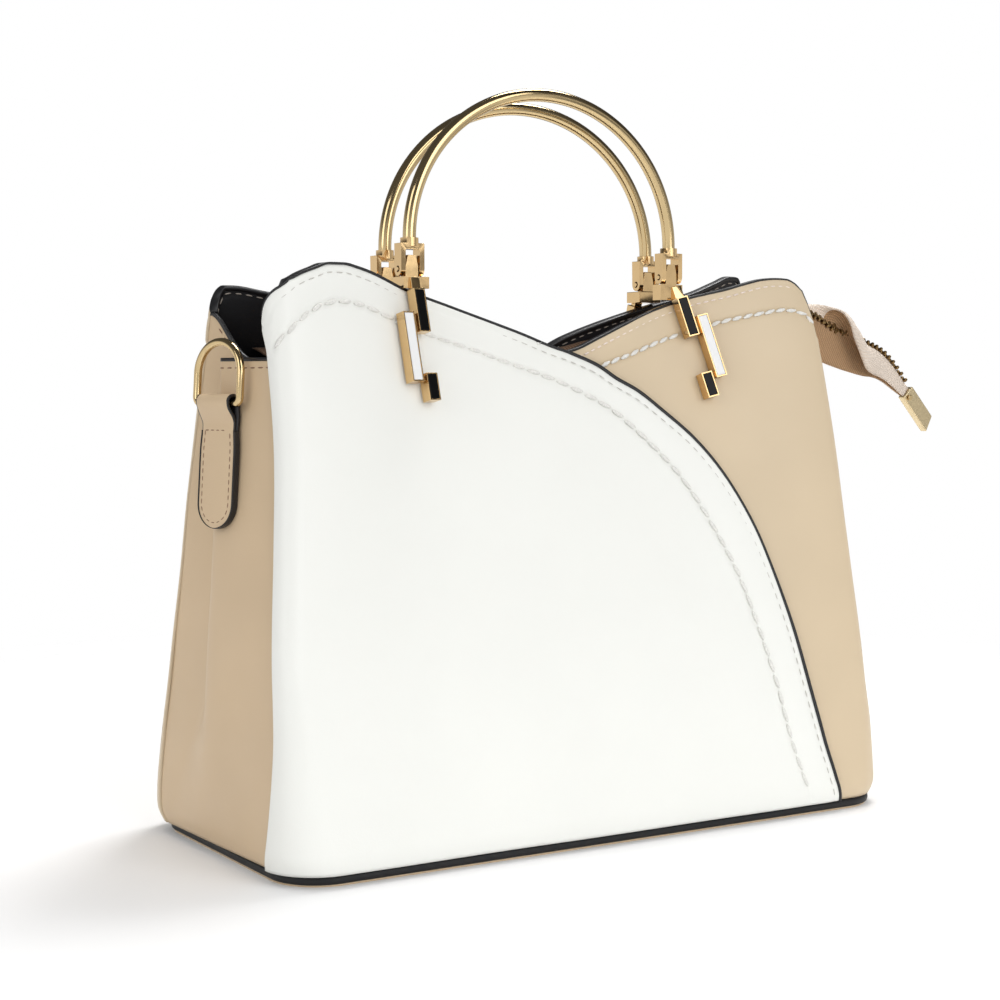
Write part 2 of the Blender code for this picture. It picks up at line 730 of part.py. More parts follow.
def make_slider():
    """Two plates joined by a neck in the slot, with a crown that holds the pull."""
    x_mid = ZIP_START + SLIDER_LENGTH / 2.0 + SEAT_GAP
    middle = ZIP_HEIGHT - TAPE_THICKNESS / 2.0
    clear = TOOTH_HEIGHT / 2.0 + SEAT_GAP
    frame = empty("zip_slider_frame", Matrix.Translation((x_mid, 0.0, middle)))
    half_x = SLIDER_LENGTH / 2.0
    half_y = SLIDER_WIDTH / 2.0
    outline = rounded_rectangle(half_x, half_y, half_y * 0.45, 3)
    upper_place = Matrix.Translation((x_mid, 0.0, middle + clear + SLIDER_PLATE / 2.0))
    slider = plate("zip_slider", [outline], SLIDER_PLATE, GOLD, upper_place)
    lower_place = Matrix.Translation((x_mid, 0.0, middle - clear - SLIDER_PLATE / 2.0))
    slider = combine(slider, plate("lower_plate", [outline], SLIDER_PLATE, GOLD, lower_place), "UNION")
    neck_half = SLIDER_NECK / 2.0
    neck_top = middle + clear + SLIDER_PLATE / 2.0
    neck_bottom = middle - clear - SLIDER_PLATE / 2.0
    neck = box("neck", (x_mid - half_x * 0.9, -neck_half, neck_bottom),
               (x_mid - half_x * 0.55, neck_half, neck_top), GOLD)
    slider = combine(slider, neck, "UNION")
    base_height = middle + clear + SLIDER_PLATE / 2.0
    arch = [(x_mid + x, 0.0, base_height + z) for x, z in arc((0.0, 0.0), CROWN_RADIUS, 0.0, 180.0, 10)]
    crown = settle(tube("crown", arch, CROWN_WIRE / 2.0, GOLD))
    slider = combine(slider, crown, "UNION")
    slider.data.materials.clear()
    slider.data.materials.append(material("zip_slider_finish", GOLD))
    parent_to(slider, frame)
    return x_mid, base_height + CROWN_RADIUS, frame


def make_pull(x_mid, crown_top, frame):
    """A flat pull: its bar lies under the crown, and the crown's leg stands in its slot."""
    axis_height = crown_top - CROWN_WIRE / 2.0 - PULL_THICKNESS / 2.0 - SEAT_GAP
    hinge = empty("zip_pull_axis", Matrix.Translation((x_mid, 0.0, axis_height)))
    parent_to(hinge, frame)
    half_width = PULL_WIDTH / 2.0
    far = PULL_LENGTH - half_width
    outline = [(-PULL_BAR, half_width), (-PULL_BAR, -half_width)]
    outline += arc((far, 0.0), half_width, -90.0, 90.0, 8)
    slot_half = CROWN_WIRE / 2.0 + PULL_SLOT_CLEARANCE
    slot = [(PULL_BAR, slot_half), (PULL_BAR, -slot_half), (PULL_SLOT_END, -slot_half),
            (PULL_SLOT_END, slot_half)]
    pull = plate("zip_pull", [outline, slot], PULL_THICKNESS, GOLD, hinge.matrix_world.copy())
    parent_to(pull, hinge)


def make_zip():
    make_zip_tape("zip_tape_front", -1, TAPE_FRONT_RISE)
    make_zip_tape("zip_tape_back", 1, TAPE_BACK_RISE)
    make_teeth()
    x_mid, crown_top, frame = make_slider()
    make_pull(x_mid, crown_top, frame)


# Free tail of the zip

def tail_point(share):
    rise = read_table(TAIL_RISE_SHARES, share)
    height = ZIP_HEIGHT + TAIL_START_RISE + TAIL_REACH * rise
    return Vector((ZIP_END + SEAT_GAP + TAIL_REACH * share, 0.0, height))


def tail_axes(share):
    """Along the line of the teeth, up from it, and towards the front."""
    step = 1.0 / TAIL_STEPS
    along = (tail_point(min(share + step, 1.0)) - tail_point(max(share - step, 0.0))).normalized()
    front = Vector((0.0, -1.0, 0.0))
    return along, front.cross(along), front


def tail_half(share, table, curl_share):
    """One half of the tape as points and their outward sides, from the teeth to its free edge."""
    along, up, front = tail_axes(share)
    start = math.radians(read_table(table, share))
    curl = math.radians(read_table(TAIL_CURL_DEGREES, share)) * curl_share
    step = TAIL_WIDTH / 2.0 * read_table(TAIL_WIDTH_SHARES, share) / TAIL_HALF_STEPS
    point = tail_point(share)
    points = []
    for index in range(TAIL_HALF_STEPS):
        bend = start + curl * ((index + 0.5) / TAIL_HALF_STEPS - 0.5)
        direction = up * math.cos(bend) + front * math.sin(bend)
        point = point + direction * step
        points.append((point, direction.cross(along)))
    return points


def tail_ring(share):
    """A section of the tail: out along one side of both halves and back along the other."""
    half_thickness = TAIL_THICKNESS / 2.0
    low = tail_half(share, TAIL_LOW_DEGREES, 0.0)
    high = tail_half(share, TAIL_HIGH_DEGREES, 1.0)
    middle = (low[0][1] - high[0][1]).normalized()
    opening = max(abs(middle.dot(low[0][1])), TAIL_CREASE_SHARE)
    crease = middle * (half_thickness / opening)
    first = [point + side * half_thickness for point, side in reversed(low)]
    first += [tail_point(share) + crease]
    first += [point - side * half_thickness for point, side in high]
    second = [point + side * half_thickness for point, side in reversed(high)]
    second += [tail_point(share) - crease]
    second += [point - side * half_thickness for point, side in low]
    return first + second


def make_tail():
    """A loft between sections, flat at the bag and folded in half at the cap."""
    bm = bmesh.new()
    rings = []
    for step in range(TAIL_STEPS + 1):
        rings.append([bm.verts.new(co) for co in tail_ring(step / TAIL_STEPS)])
    count = len(rings[0])
    for first, second in zip(rings, rings[1:]):
        for index in range(count):
            after = (index + 1) % count
            bm.faces.new((first[after], first[index], second[index], second[after]))
    for ring, turned in ((rings[0], False), (rings[-1], True)):
        half = count // 2
        for index in range(half - 1):
            face = (ring[index], ring[index + 1], ring[count - 2 - index], ring[count - 1 - index])
            bm.faces.new(tuple(reversed(face)) if turned else face)
    bmesh.ops.triangulate(bm, faces=bm.faces)
    mesh = mesh_from(bm, "zip_tail")
    smooth(mesh)
    add_object("zip_tail", mesh, TAPE)


def make_end_cap():
    """A folded metal cap with a slanted end, and the rivet that closes it."""
    along, up, front = tail_axes(1.0)
    frame = Matrix((along, -up, -front)).transposed().to_4x4()
    frame.translation = tail_point(1.0) + along * SEAT_GAP
    near = -CAP_EDGE
    far = CAP_WIDTH - CAP_EDGE
    outline = [(0.0, near), (CAP_LENGTH, near), (CAP_LENGTH + CAP_SLANT, far), (0.0, far)]
    cap = plate("zip_end_cap", [outline], CAP_THICKNESS, GOLD, frame)
    rounding = cap.modifiers.new("rounding", "BEVEL")
    rounding.width = CAP_EDGE / 3.0
    rounding.segments = 1
    spot = frame @ Matrix.Translation((2.0 * RIVET_RADIUS, far - 2.0 * RIVET_RADIUS,
                                       -CAP_THICKNESS / 2.0 - SEAT_GAP - RIVET_HEAD / 2.0))
    cylinder("zip_end_rivet", RIVET_RADIUS, RIVET_HEAD, GOLD, spot, 12)


# Handles: two wire arches, each with a yoke and a pin at both feet

def handle_frame(name, side, top, spacing, shift, inset, left_lift, right_lift):
    """The hinge line: each end stands above the panel's edge under it."""
    middle = TOP_LEAN + shift
    left = middle - spacing / 2.0
    right = middle + spacing / 2.0
    left_edge = top(station_at(left, BODY_HEIGHT, side))
    right_edge = top(station_at(right, BODY_HEIGHT, side))
    low = left_edge + left_lift
    high = right_edge + right_lift
    depth = (panel_half_depth(station_at(left, left_edge, side), left_edge)
             + panel_half_depth(station_at(right, right_edge, side), right_edge)) / 2.0 - inset
    turn = Matrix.Rotation(math.atan2(low - high, spacing), 4, "Y")
    return empty(name, Matrix.Translation((middle, side * depth, (low + high) / 2.0)) @ turn)


def local(frame, x, y, z):
    return frame.matrix_world @ Matrix.Translation((x, y, z))


def make_rod(name, frame, half):
    """The arch rises from the sockets of the yokes, half a spacing to each side."""
    rim = YOKE_TOP + SOCKET_HEIGHT
    foot = rim - SOCKET_DEPTH + SEAT_GAP
    path = [(-half, 0.0, foot)]
    for step in range(ROD_STEPS + 1):
        angle = math.pi * (1.0 - step / ROD_STEPS)
        path.append((half * math.cos(angle), 0.0, rim + HANDLE_RISE * math.sin(angle)))
    path.append((half, 0.0, foot))
    rod = tube(name, path, ROD_RADIUS, GOLD, frame.matrix_world.copy(), resolution=3)
    parent_to(rod, frame)


def across_place(frame, x, z=0.0):
    """A plate's own X runs up, its own Y runs back and its own Z runs along the hinge line."""
    axes = Matrix(((0.0, 0.0, 1.0), (0.0, 1.0, 0.0), (-1.0, 0.0, 0.0))).to_4x4()
    return local(frame, x, 0.0, z) @ axes


def make_yoke(name, frame, x):
    """An upturned U whose rounded feet straddle the lug, with a socket for the rod on top."""
    half_depth = YOKE_DEPTH / 2.0
    outline = arc((0.0, 0.0), half_depth, -90.0, 90.0, 8)
    outline += [(-YOKE_TOP, half_depth), (-YOKE_TOP, -half_depth)]
    yoke = plate(name, [outline], YOKE_WIDTH, GOLD, across_place(frame, x))
    inner = YOKE_OPENING / 2.0
    slot_low = (-inner, -YOKE_DEPTH, -YOKE_DEPTH)
    slot_high = (inner, YOKE_DEPTH, YOKE_TOP - YOKE_BAR)
    slot = box("slot", slot_low, slot_high, GOLD, local(frame, x, 0.0, 0.0))
    yoke = combine(yoke, slot, "DIFFERENCE")
    socket_length = SOCKET_HEIGHT + YOKE_BAR / 2.0
    socket_middle = YOKE_TOP + SOCKET_HEIGHT - socket_length / 2.0
    socket_radius = ROD_RADIUS + SEAT_GAP + SOCKET_WALL
    socket = cylinder("socket", socket_radius, socket_length, GOLD, local(frame, x, 0.0, socket_middle))
    yoke = combine(yoke, socket, "UNION")
    bore_length = SOCKET_DEPTH + CUT_OVERRUN
    bore_middle = YOKE_TOP + SOCKET_HEIGHT - SOCKET_DEPTH + bore_length / 2.0
    bore = cylinder("bore", ROD_RADIUS + SEAT_GAP, bore_length, GOLD, local(frame, x, 0.0, bore_middle))
    yoke = combine(yoke, bore, "DIFFERENCE")
    yoke = cut_pin_hole(yoke, frame, x)
    smooth(yoke.data)
    parent_to(yoke, frame)


def cut_pin_hole(target, frame, x):
    length = YOKE_WIDTH + 2.0 * CUT_OVERRUN
    drill = cylinder("drill", PIN_RADIUS + SEAT_GAP, length, GOLD, across_place(frame, x), 12)
    return combine(target, drill, "DIFFERENCE")


def make_pin(name, frame, x):
    length = YOKE_WIDTH + 2.0 * PIN_PROUD
    pin = cylinder(name, PIN_RADIUS, length, GOLD, across_place(frame, x), 12)
    parent_to(pin, frame)


# Mounts: a lug and a flange on the edge of the panel, and the bars below them

def panel_frame(x, z, side, outward):
    """Local Y points out of the panel, local Z up its slope and local X completes the frame."""
    def surface(place, height):
        return panel_point(station_at(place, height, side), height, 0.0, side)

    lower = z - SECOND_BAR_LENGTH
    along = (surface(x, z) - surface(x, lower)).normalized()
    across = surface(x + BAR_PITCH, lower) - surface(x - BAR_PITCH, lower)
    out = along.cross(across).normalized() * side
    along = across.cross(out).normalized() * side
    frame = Matrix((out.cross(along), out, along)).transposed().to_4x4()
    frame.translation = surface(x, z) + out * outward
    return frame


def edge_height(x, reach, top, side):
    """Highest point of the panel's edge under a piece that reaches to both sides of x."""
    return max(top(station_at(place, BODY_HEIGHT, side)) for place in (x - reach, x, x + reach))


def bar_boxes(hand):
    """The bars of a front mount as (name, offset along the panel, top, bottom)."""
    return (("first", 0.0, 0.0, -FIRST_BAR_LENGTH),
            ("second", hand * BAR_PITCH, -SECOND_BAR_START, -SECOND_BAR_START - SECOND_BAR_LENGTH),
            ("third", 0.0, -THIRD_BAR_START, -THIRD_BAR_START - THIRD_BAR_LENGTH))


def make_lug(frame, x):
    """A tongue that narrows upwards between the feet of the yoke."""
    half = YOKE_OPENING / 2.0 - SEAT_GAP
    foot = -YOKE_DEPTH / 2.0 - SEAT_GAP - LUG_TOP_WIDTH / 4.0
    outline = [(-half, foot), (half, foot), (half, PIN_RADIUS), (LUG_TOP_WIDTH / 2.0, LUG_TOP),
               (-LUG_TOP_WIDTH / 2.0, LUG_TOP), (-half, PIN_RADIUS)]
    upright = Matrix.Rotation(math.radians(90.0), 4, "X")
    lug = plate("lug", [outline], LUG_DEPTH, GOLD, local(frame, x, 0.0, 0.0) @ upright)
    return cut_pin_hole(lug, frame, x)


def make_mount(name, frame, x, side, top, outer):
    """One casting: the lug that the yoke turns on, the flange and the bars on the panel."""
    pin = local(frame, x, 0.0, 0.0).translation
    front = side < 0
    tilt = abs(frame.matrix_world.col[0].z)
    flange_top = pin.z - YOKE_DEPTH / 2.0 - SEAT_GAP - tilt * YOKE_WIDTH / 2.0
    seat = edge_height(pin.x, FLANGE_LENGTH / 2.0, top, side) + SEAT_GAP
    cover = 2.0 * LAYER_GAP + LEATHER if front and outer < 0 else 0.0
    reach = cover + BAR_GAP + BAR_WEB_DEPTH
    near = panel_point(station_at(pin.x, flange_top, side), flange_top, reach, side).y
    far = pin.y - side * FLANGE_REAR
    half_x = FLANGE_LENGTH / 2.0
    mount = box(name, (pin.x - half_x, min(near, far), seat),
                (pin.x + half_x, max(near, far), flange_top), GOLD)
    mount = combine(mount, make_lug(frame, x), "UNION")
    aside = 0.0
    turn = 0.0
    if front and outer > 0:
        aside = RIGHT_BARS_ASIDE
        turn = RIGHT_BARS_TURN_DEGREES
    elif front:
        aside = -LEFT_BARS_ASIDE
    place = panel_frame(pin.x + aside, flange_top - BAR_DROP, side, cover + BAR_GAP)
    place = place @ Matrix.Rotation(math.radians(turn), 4, "Y")
    half = BAR_WIDTH / 2.0
    neck_top = (BAR_DROP - FLANGE_REAR / 2.0) / place.to_3x3().col[2].z
    neck_half = half - ENAMEL_RIM
    neck = box("neck", (-neck_half, ENAMEL_RIM, -BAR_WIDTH), (neck_half, BAR_WEB_DEPTH, neck_top),
               GOLD, place)
    mount = combine(mount, neck, "UNION")
    hand = outer * side
    bars = bar_boxes(hand) if front else bar_boxes(hand)[:1]
    for bar_name, offset, upper, lower in bars:
        bar = box("bar", (offset - half, 0.0, lower), (offset + half, BAR_DEPTH, upper), GOLD, place)
        mount = combine(mount, bar, "UNION")
        if front:
            rim = ENAMEL_RIM
            floor = BAR_DEPTH - ENAMEL_DEPTH
            pocket = box("pocket", (offset - half + rim, floor, lower + rim),
                         (offset + half - rim, BAR_DEPTH + CUT_OVERRUN, upper - rim), GOLD, place)
            mount = combine(mount, pocket, "DIFFERENCE")
            edge = rim + ENAMEL_CLEARANCE
            look = WHITE_ENAMEL if bar_name == "second" else BLACK_ENAMEL
            box(name.replace("mount", bar_name) + "_enamel",
                (offset - half + edge, floor + ENAMEL_CLEARANCE, lower + edge),
                (offset + half - edge, BAR_DEPTH, upper - edge), look, place)
    if front:
        link_low = min(hand * (BAR_PITCH - half), hand * half) - ENAMEL_RIM
        link_high = max(hand * (BAR_PITCH - half), hand * half) + ENAMEL_RIM
        for upper, lower in ((-SECOND_BAR_START - ENAMEL_RIM, -FIRST_BAR_LENGTH + ENAMEL_RIM),
                             (-THIRD_BAR_START - ENAMEL_RIM,
                              -SECOND_BAR_START - SECOND_BAR_LENGTH + ENAMEL_RIM)):
            web = box("web", (link_low, ENAMEL_RIM, lower), (link_high, BAR_WEB_DEPTH, upper), GOLD, place)
            mount = combine(mount, web, "UNION")


def make_screw(name, frame, x, side):
    """The screw head behind a mount, on the inner face of the facing."""
    pin = local(frame, x, 0.0, 0.0).translation
    z = pin.z - YOKE_DEPTH / 2.0 - BAR_DROP - FIRST_BAR_LENGTH / 2.0
    inward = LEATHER + LAYER_GAP + FACING + LAYER_GAP
    place = panel_frame(pin.x, z, side, -inward)
    sunk = place @ Matrix.Translation((0.0, -SCREW_HEAD_HEIGHT / 2.0, 0.0))
    turn = Matrix.Rotation(math.radians(90.0), 4, "X")
    cylinder(name, SCREW_HEAD_RADIUS, SCREW_HEAD_HEIGHT, GOLD, sunk @ turn, 12)


def make_handles():
    front = handle_frame("front_handle_axis", -1, front_top, FRONT_HANDLE_SPACING, FRONT_HANDLE_SHIFT,
                         FRONT_HANDLE_INSET, FRONT_LEFT_LIFT, FRONT_RIGHT_LIFT)
    back = handle_frame("back_handle_axis", 1, back_top, BACK_HANDLE_SPACING, BACK_HANDLE_SHIFT,
                        BACK_HANDLE_INSET, BACK_LEFT_LIFT, BACK_RIGHT_LIFT)
    for where, frame, side, top, half in (("front", front, -1, front_top, FRONT_HANDLE_SPACING / 2.0),
                                          ("back", back, 1, back_top, BACK_HANDLE_SPACING / 2.0)):
        make_rod(where + "_handle_rod", frame, half)
        for hand, outer in (("left", -1), ("right", 1)):
            place = where + "_" + hand
            make_yoke(place + "_yoke", frame, outer * half)
            make_pin(place + "_pin", frame, outer * half)
            make_mount(place + "_mount", frame, outer * half, side, top, outer)
            make_screw(place + "_screw", frame, outer * half, side)


# Side tabs and rings

def tab_frame(side):
    """Local X across the tab, local Y up the gusset and local Z out of it, at the ring's bar."""
    points = []
    for z in (TAB_EYE_HEIGHT - TAB_LENGTH, TAB_EYE_HEIGHT):
        seam, _, ridge, _, _, _ = gusset_profile(z, side)
        share = (TAB_PLACE - seam[1]) / (ridge[1] - seam[1])
        points.append(Vector((mix(seam[0], ridge[0], share), TAB_PLACE, z)))
        course = Vector((ridge[0] - seam[0], ridge[1] - seam[1], 0.0)).normalized() * side
    up = (points[1] - points[0]).normalized()
    out = course.cross(up).normalized()
    up = out.cross(course)
    frame = Matrix((course, up, out)).transposed().to_4x4()
    frame.translation = points[1] + out * (TAB_STAND + eye_radius())
    return frame


def eye_radius():
    return RING_WIRE_RADIUS + RING_CLEARANCE + TAB_LAYER


def make_tab(name, frame):
    """A strap folded round the bar of the ring, both layers sewn together below the eye."""
    outer = eye_radius()
    slab = 2.0 * TAB_LAYER - outer
    side_outline = [(-TAB_LENGTH, -outer), (0.0, -outer)] + arc((0.0, 0.0), outer, -90.0, 90.0, 10)[1:]
    side_outline += [(-outer, mix(slab, outer, 0.55)), (-2.2 * outer, slab), (-TAB_LENGTH, slab)]
    eye = arc((0.0, 0.0), RING_WIRE_RADIUS + RING_CLEARANCE, 0.0, 360.0, 12)[:-1]
    course, up, out = (frame.to_3x3().col[index] for index in range(3))
    edgewise = Matrix((up, out, course)).transposed().to_4x4()
    edgewise.translation = frame.translation
    tab = plate(name, [side_outline, eye], TAB_WIDTH, BEIGE, edgewise)
    half = TAB_WIDTH / 2.0
    neck = TAB_NECK_WIDTH / 2.0
    top = 2.0 * outer
    outline = [(half, -TAB_LENGTH + half), (half, -TAB_NECK_PLACE - half), (neck, -TAB_NECK_PLACE),
               (half, -TAB_NECK_PLACE + half / 2.0), (half, top), (-half, top),
               (-half, -TAB_NECK_PLACE + half / 2.0), (-neck, -TAB_NECK_PLACE),
               (-half, -TAB_NECK_PLACE - half)]
    outline += arc((0.0, -TAB_LENGTH + half), half, 180.0, 360.0, 10)[:-1]
    shape = plate("tab_shape", [outline], 4.0 * outer, BEIGE, frame)
    tab = combine(tab, shape, "INTERSECT")
    smooth(tab.data)
    return tab


def make_ring(name, frame):
    """A D of round wire: its bar turns in the eye of the tab."""
    half = RING_WIDTH / 2.0 - RING_WIRE_RADIUS
    height = RING_HEIGHT - 2.0 * RING_WIRE_RADIUS
    corner = RING_CORNER_RADIUS
    path = arc((-half + corner, corner), corner, 180.0, 270.0, 3)
    path += arc((half - corner, corner), corner, 270.0, 360.0, 3)
    path += arc((0.0, height - half), half, 0.0, 180.0, RING_ARC_STEPS)
    ring = tube(name, [(x, y, 0.0) for x, y in path], RING_WIRE_RADIUS, GOLD, frame, closed=True)
    return ring


def make_sides():
    for hand, side, swing in (("left", -1, 0.0), ("right", 1, RIGHT_RING_HANG_DEGREES)):
        frame = tab_frame(side)
        make_tab(hand + "_tab", frame)
        swung = frame @ Matrix.Rotation(math.radians(swing), 4, "X")
        axis = empty(hand + "_ring_axis", swung)
        ring = make_ring(hand + "_ring", swung)
        parent_to(ring, axis)


make_base()
make_panel("front_panel", -1, front_top, BEIGE)
make_overlay()
make_panel("back_panel", 1, back_top, BEIGE)
make_facing("front_facing", -1, front_top)
make_facing("back_facing", 1, back_top)
make_gusset("left_gusset", -1)
make_gusset("right_gusset", 1)
make_lining()
make_zip()
make_tail()
make_end_cap()
make_handles()
make_sides()
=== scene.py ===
import json
import math

import bmesh
import bpy
import numpy as np
from mathutils import Matrix, Vector


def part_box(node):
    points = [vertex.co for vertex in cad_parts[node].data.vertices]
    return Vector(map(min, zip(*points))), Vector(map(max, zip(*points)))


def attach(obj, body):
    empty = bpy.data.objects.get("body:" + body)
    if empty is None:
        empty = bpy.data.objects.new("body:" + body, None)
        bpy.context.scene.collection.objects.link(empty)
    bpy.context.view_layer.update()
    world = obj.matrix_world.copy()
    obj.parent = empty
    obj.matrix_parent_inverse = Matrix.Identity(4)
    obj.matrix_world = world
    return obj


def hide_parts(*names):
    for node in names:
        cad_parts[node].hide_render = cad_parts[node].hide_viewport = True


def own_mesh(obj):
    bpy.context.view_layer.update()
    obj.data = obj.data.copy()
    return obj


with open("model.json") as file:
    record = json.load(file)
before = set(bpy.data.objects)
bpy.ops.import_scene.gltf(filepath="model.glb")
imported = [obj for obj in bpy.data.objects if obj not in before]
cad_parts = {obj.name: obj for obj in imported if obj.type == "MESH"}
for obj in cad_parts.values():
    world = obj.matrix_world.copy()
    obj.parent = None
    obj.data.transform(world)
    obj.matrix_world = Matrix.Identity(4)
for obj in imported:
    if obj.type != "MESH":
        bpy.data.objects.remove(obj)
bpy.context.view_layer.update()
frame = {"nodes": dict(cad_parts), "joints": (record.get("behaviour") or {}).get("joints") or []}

# Sizes shared with the CAD, in metres
BASE_LENGTH = 0.288
BASE_DEPTH = 0.134
BASE_CORNER_RADIUS = 0.020
BODY_HEIGHT = 0.2273
TOP_LENGTH = 0.262
TOP_END_DEPTH = 0.046
TOP_WAIST_DEPTH = 0.014
TOP_CORNER_RADIUS = 0.006
CORNER_FADE_HEIGHT = 0.090
TOP_LEAN = 0.0015
FOOT_INSET = 0.0045
FOOT_HEIGHT = 0.0120
LEATHER = 0.0014
FACING = 0.0012
LINING = 0.0006
LAYER_GAP = 0.0005
SEAT_GAP = 0.0003
BASE_LEATHER = 0.0008
BOARD_THICKNESS = 0.0030
BOARD_INSET = 0.0020
BASE_LEATHER_INSET = 0.0028
ZIP_DEPTH = 0.0348
ZIP_HEIGHT = BODY_HEIGHT - ZIP_DEPTH
GUSSET_HEIGHT = ZIP_HEIGHT - 0.0015
FACING_BOTTOM = ZIP_HEIGHT - 0.0085
LINING_TOP = ZIP_HEIGHT - 0.0095
BOARD_TOP = BASE_LEATHER + SEAT_GAP + BOARD_THICKNESS
WALL_BOTTOM = BOARD_TOP + SEAT_GAP

# Top edges of the panels: place along the panel, share of body height
DIP = 0.038
HIGH_LOBE = (
    (-2, 0.905), (-1.85, 0.924), (-1.65, 0.939), (-1.45, 0.949), (-1.25, 0.956), (-1.1, 0.962), (-1, 0.968),
    (-0.957, 0.979), (-0.913, 0.988), (-0.86, 0.997), (-0.8, 0.9975), (-0.75, 0.993), (-0.697, 0.986),
    (-0.643, 0.976), (-0.57, 0.96), (-0.38, 0.929), (-0.127, 0.885), (-0.018, 0.863), (0.038, 0.854))
LOW_LOBE = (
    (0.038, 0.854), (0.083, 0.859), (0.19, 0.882), (0.305, 0.908), (0.418, 0.933), (0.5, 0.948),
    (0.567, 0.959), (0.631, 0.967), (0.705, 0.976), (0.779, 0.987), (0.854, 0.996), (0.904, 0.998),
    (0.944, 0.997), (0.976, 0.989), (1, 0.976), (1.2, 0.95), (1.6, 0.893), (2, 0.841))
BACK_LEFT = (
    (-2, 0.919), (-1.5, 0.945), (-1.2, 0.961), (-0.965, 0.967), (-0.854, 0.957), (-0.709, 0.946),
    (-0.521, 0.93), (-0.253, 0.889), (0.038, 0.843))
BACK_RIGHT = (
    (0.038, 0.843), (0.186, 0.888), (0.497, 0.943), (0.765, 0.978), (0.891, 1), (0.961, 1.012),
    (1.2, 1.006), (1.5, 0.975), (2, 0.919))
# The overlay's free edge: share of the dip's height, place along the panel
OVERLAY_EDGE = (
    (0, 0.923), (0.034, 0.89), (0.067, 0.869), (0.135, 0.831), (0.268, 0.782), (0.402, 0.74),
    (0.537, 0.691), (0.604, 0.661), (0.672, 0.619), (0.74, 0.564), (0.807, 0.487), (0.875, 0.373),
    (0.915, 0.295), (0.941, 0.221), (0.97, 0.153), (0.996, 0.055), (1, 0.038))

# Swell of the corners beyond the straight taper: share of body height, share of base length
SWELL_START = 0.6
FRONT_LEFT_SWELL = (
    (0, 0), (0.15, -0.0045), (0.22, -0.0059), (0.35, -0.0031), (0.53, -0.0083), (0.7, -0.0132),
    (0.84, -0.0086), (0.9, -0.002), (0.94, -0.0005), (1, -0.004))
BACK_LEFT_SWELL = (
    (0, 0.008), (0.08, 0.012), (0.15, 0.01), (0.29, 0.0059), (0.44, 0.008), (0.62, 0.0132), (0.84, 0.0137),
    (1, 0.0165))
RIGHT_SWELL = (
    (0, 0), (0.15, -0.0002), (0.24, -0.0034), (0.35, -0.003), (0.53, 0.0008), (0.7, 0.0048), (0.84, 0.004),
    (1, -0.004))

# Folds of the gussets, in metres
RIDGE_STAND = 0.0060
RIDGE_PLACE = 0.004
VALLEY_DEPTH = 0.0080
VALLEY_LOW_PLACE = 0.041
VALLEY_MIDDLE_PLACE = 0.0155
VALLEY_TOP_PLACE = 0.0045
PLEAT_APEX_HEIGHT = 0.061
GUSSET_BACK_RISE = 0.018

# Zip and its free tail; angles in degrees by share of the tail's reach
ZIP_START = -0.1160
ZIP_END = 0.1137
TAPE_SLOT = 0.0030
TAPE_FLAT = 0.0065
TAPE_RISES = {-1: -0.0015, 1: 0.0035}

TAIL_REACH = 0.0990
TAIL_WIDTH = 0.0360
TAIL_RISE = (
    (0, 0), (0.12, 0.095), (0.22, 0.165), (0.32, 0.2), (0.4, 0.19), (0.5, 0.142), (0.6, 0.102),
    (0.7, 0.068), (0.8, 0.034), (0.87, -0.012), (1, -0.148))
TAIL_LOW = (
    (0, 89), (0.1, 108), (0.3, 165), (0.42, 176), (0.6, 180), (1, 186))
TAIL_HIGH = (
    (0, -89), (0.12, -80), (0.3, -66), (0.44, -60), (0.5, 0), (0.535, 55), (0.59, 108), (0.66, 140),
    (0.75, 160), (1, 168))
TAIL_CURL = (
    (0, 0), (0.3, 4), (0.38, 30), (0.44, 100), (0.5, 225), (0.59, 215), (0.66, 150), (0.75, 70), (0.88, 14),
    (1, 4))
TAIL_WIDTHS = (
    (0, 0.86), (0.3, 1), (0.45, 1), (0.6, 0.92), (0.7, 0.86), (0.8, 0.79), (0.92, 0.534), (1, 0.327))
TAIL_LIGHT_SHARE = 0.50
TAIL_SLACK = 1.05

# Handles
ROD_RADIUS = 0.00265
HANDLE_SPACINGS = {"front": 0.1266, "back": 0.1295}
HANDLE_RISE = 0.0600
ROD_RIM = 0.0123

# Side tabs and rings
TAB_WIDTH = 0.0190
TAB_NECK_WIDTH = 0.0178
TAB_NECK_PLACE = 0.0100
TAB_LENGTH = 0.0475
TAB_LAYER = 0.0015
TAB_EYE_TAPER = 0.0007
TAB_EASE = 0.0003
TAB_EYE_HEIGHT = GUSSET_HEIGHT - 0.0170
TAB_PLACE = -0.0010
TAB_STAND = 0.0009
RING_WIRE_RADIUS = 0.00155
RING_WIDTH = 0.0270
RING_HEIGHT = 0.0262
RING_CORNER_RADIUS = 0.0022
RING_CLEARANCE = 0.0004
RING_SWINGS = {-1: 0.0, 1: 172.0}

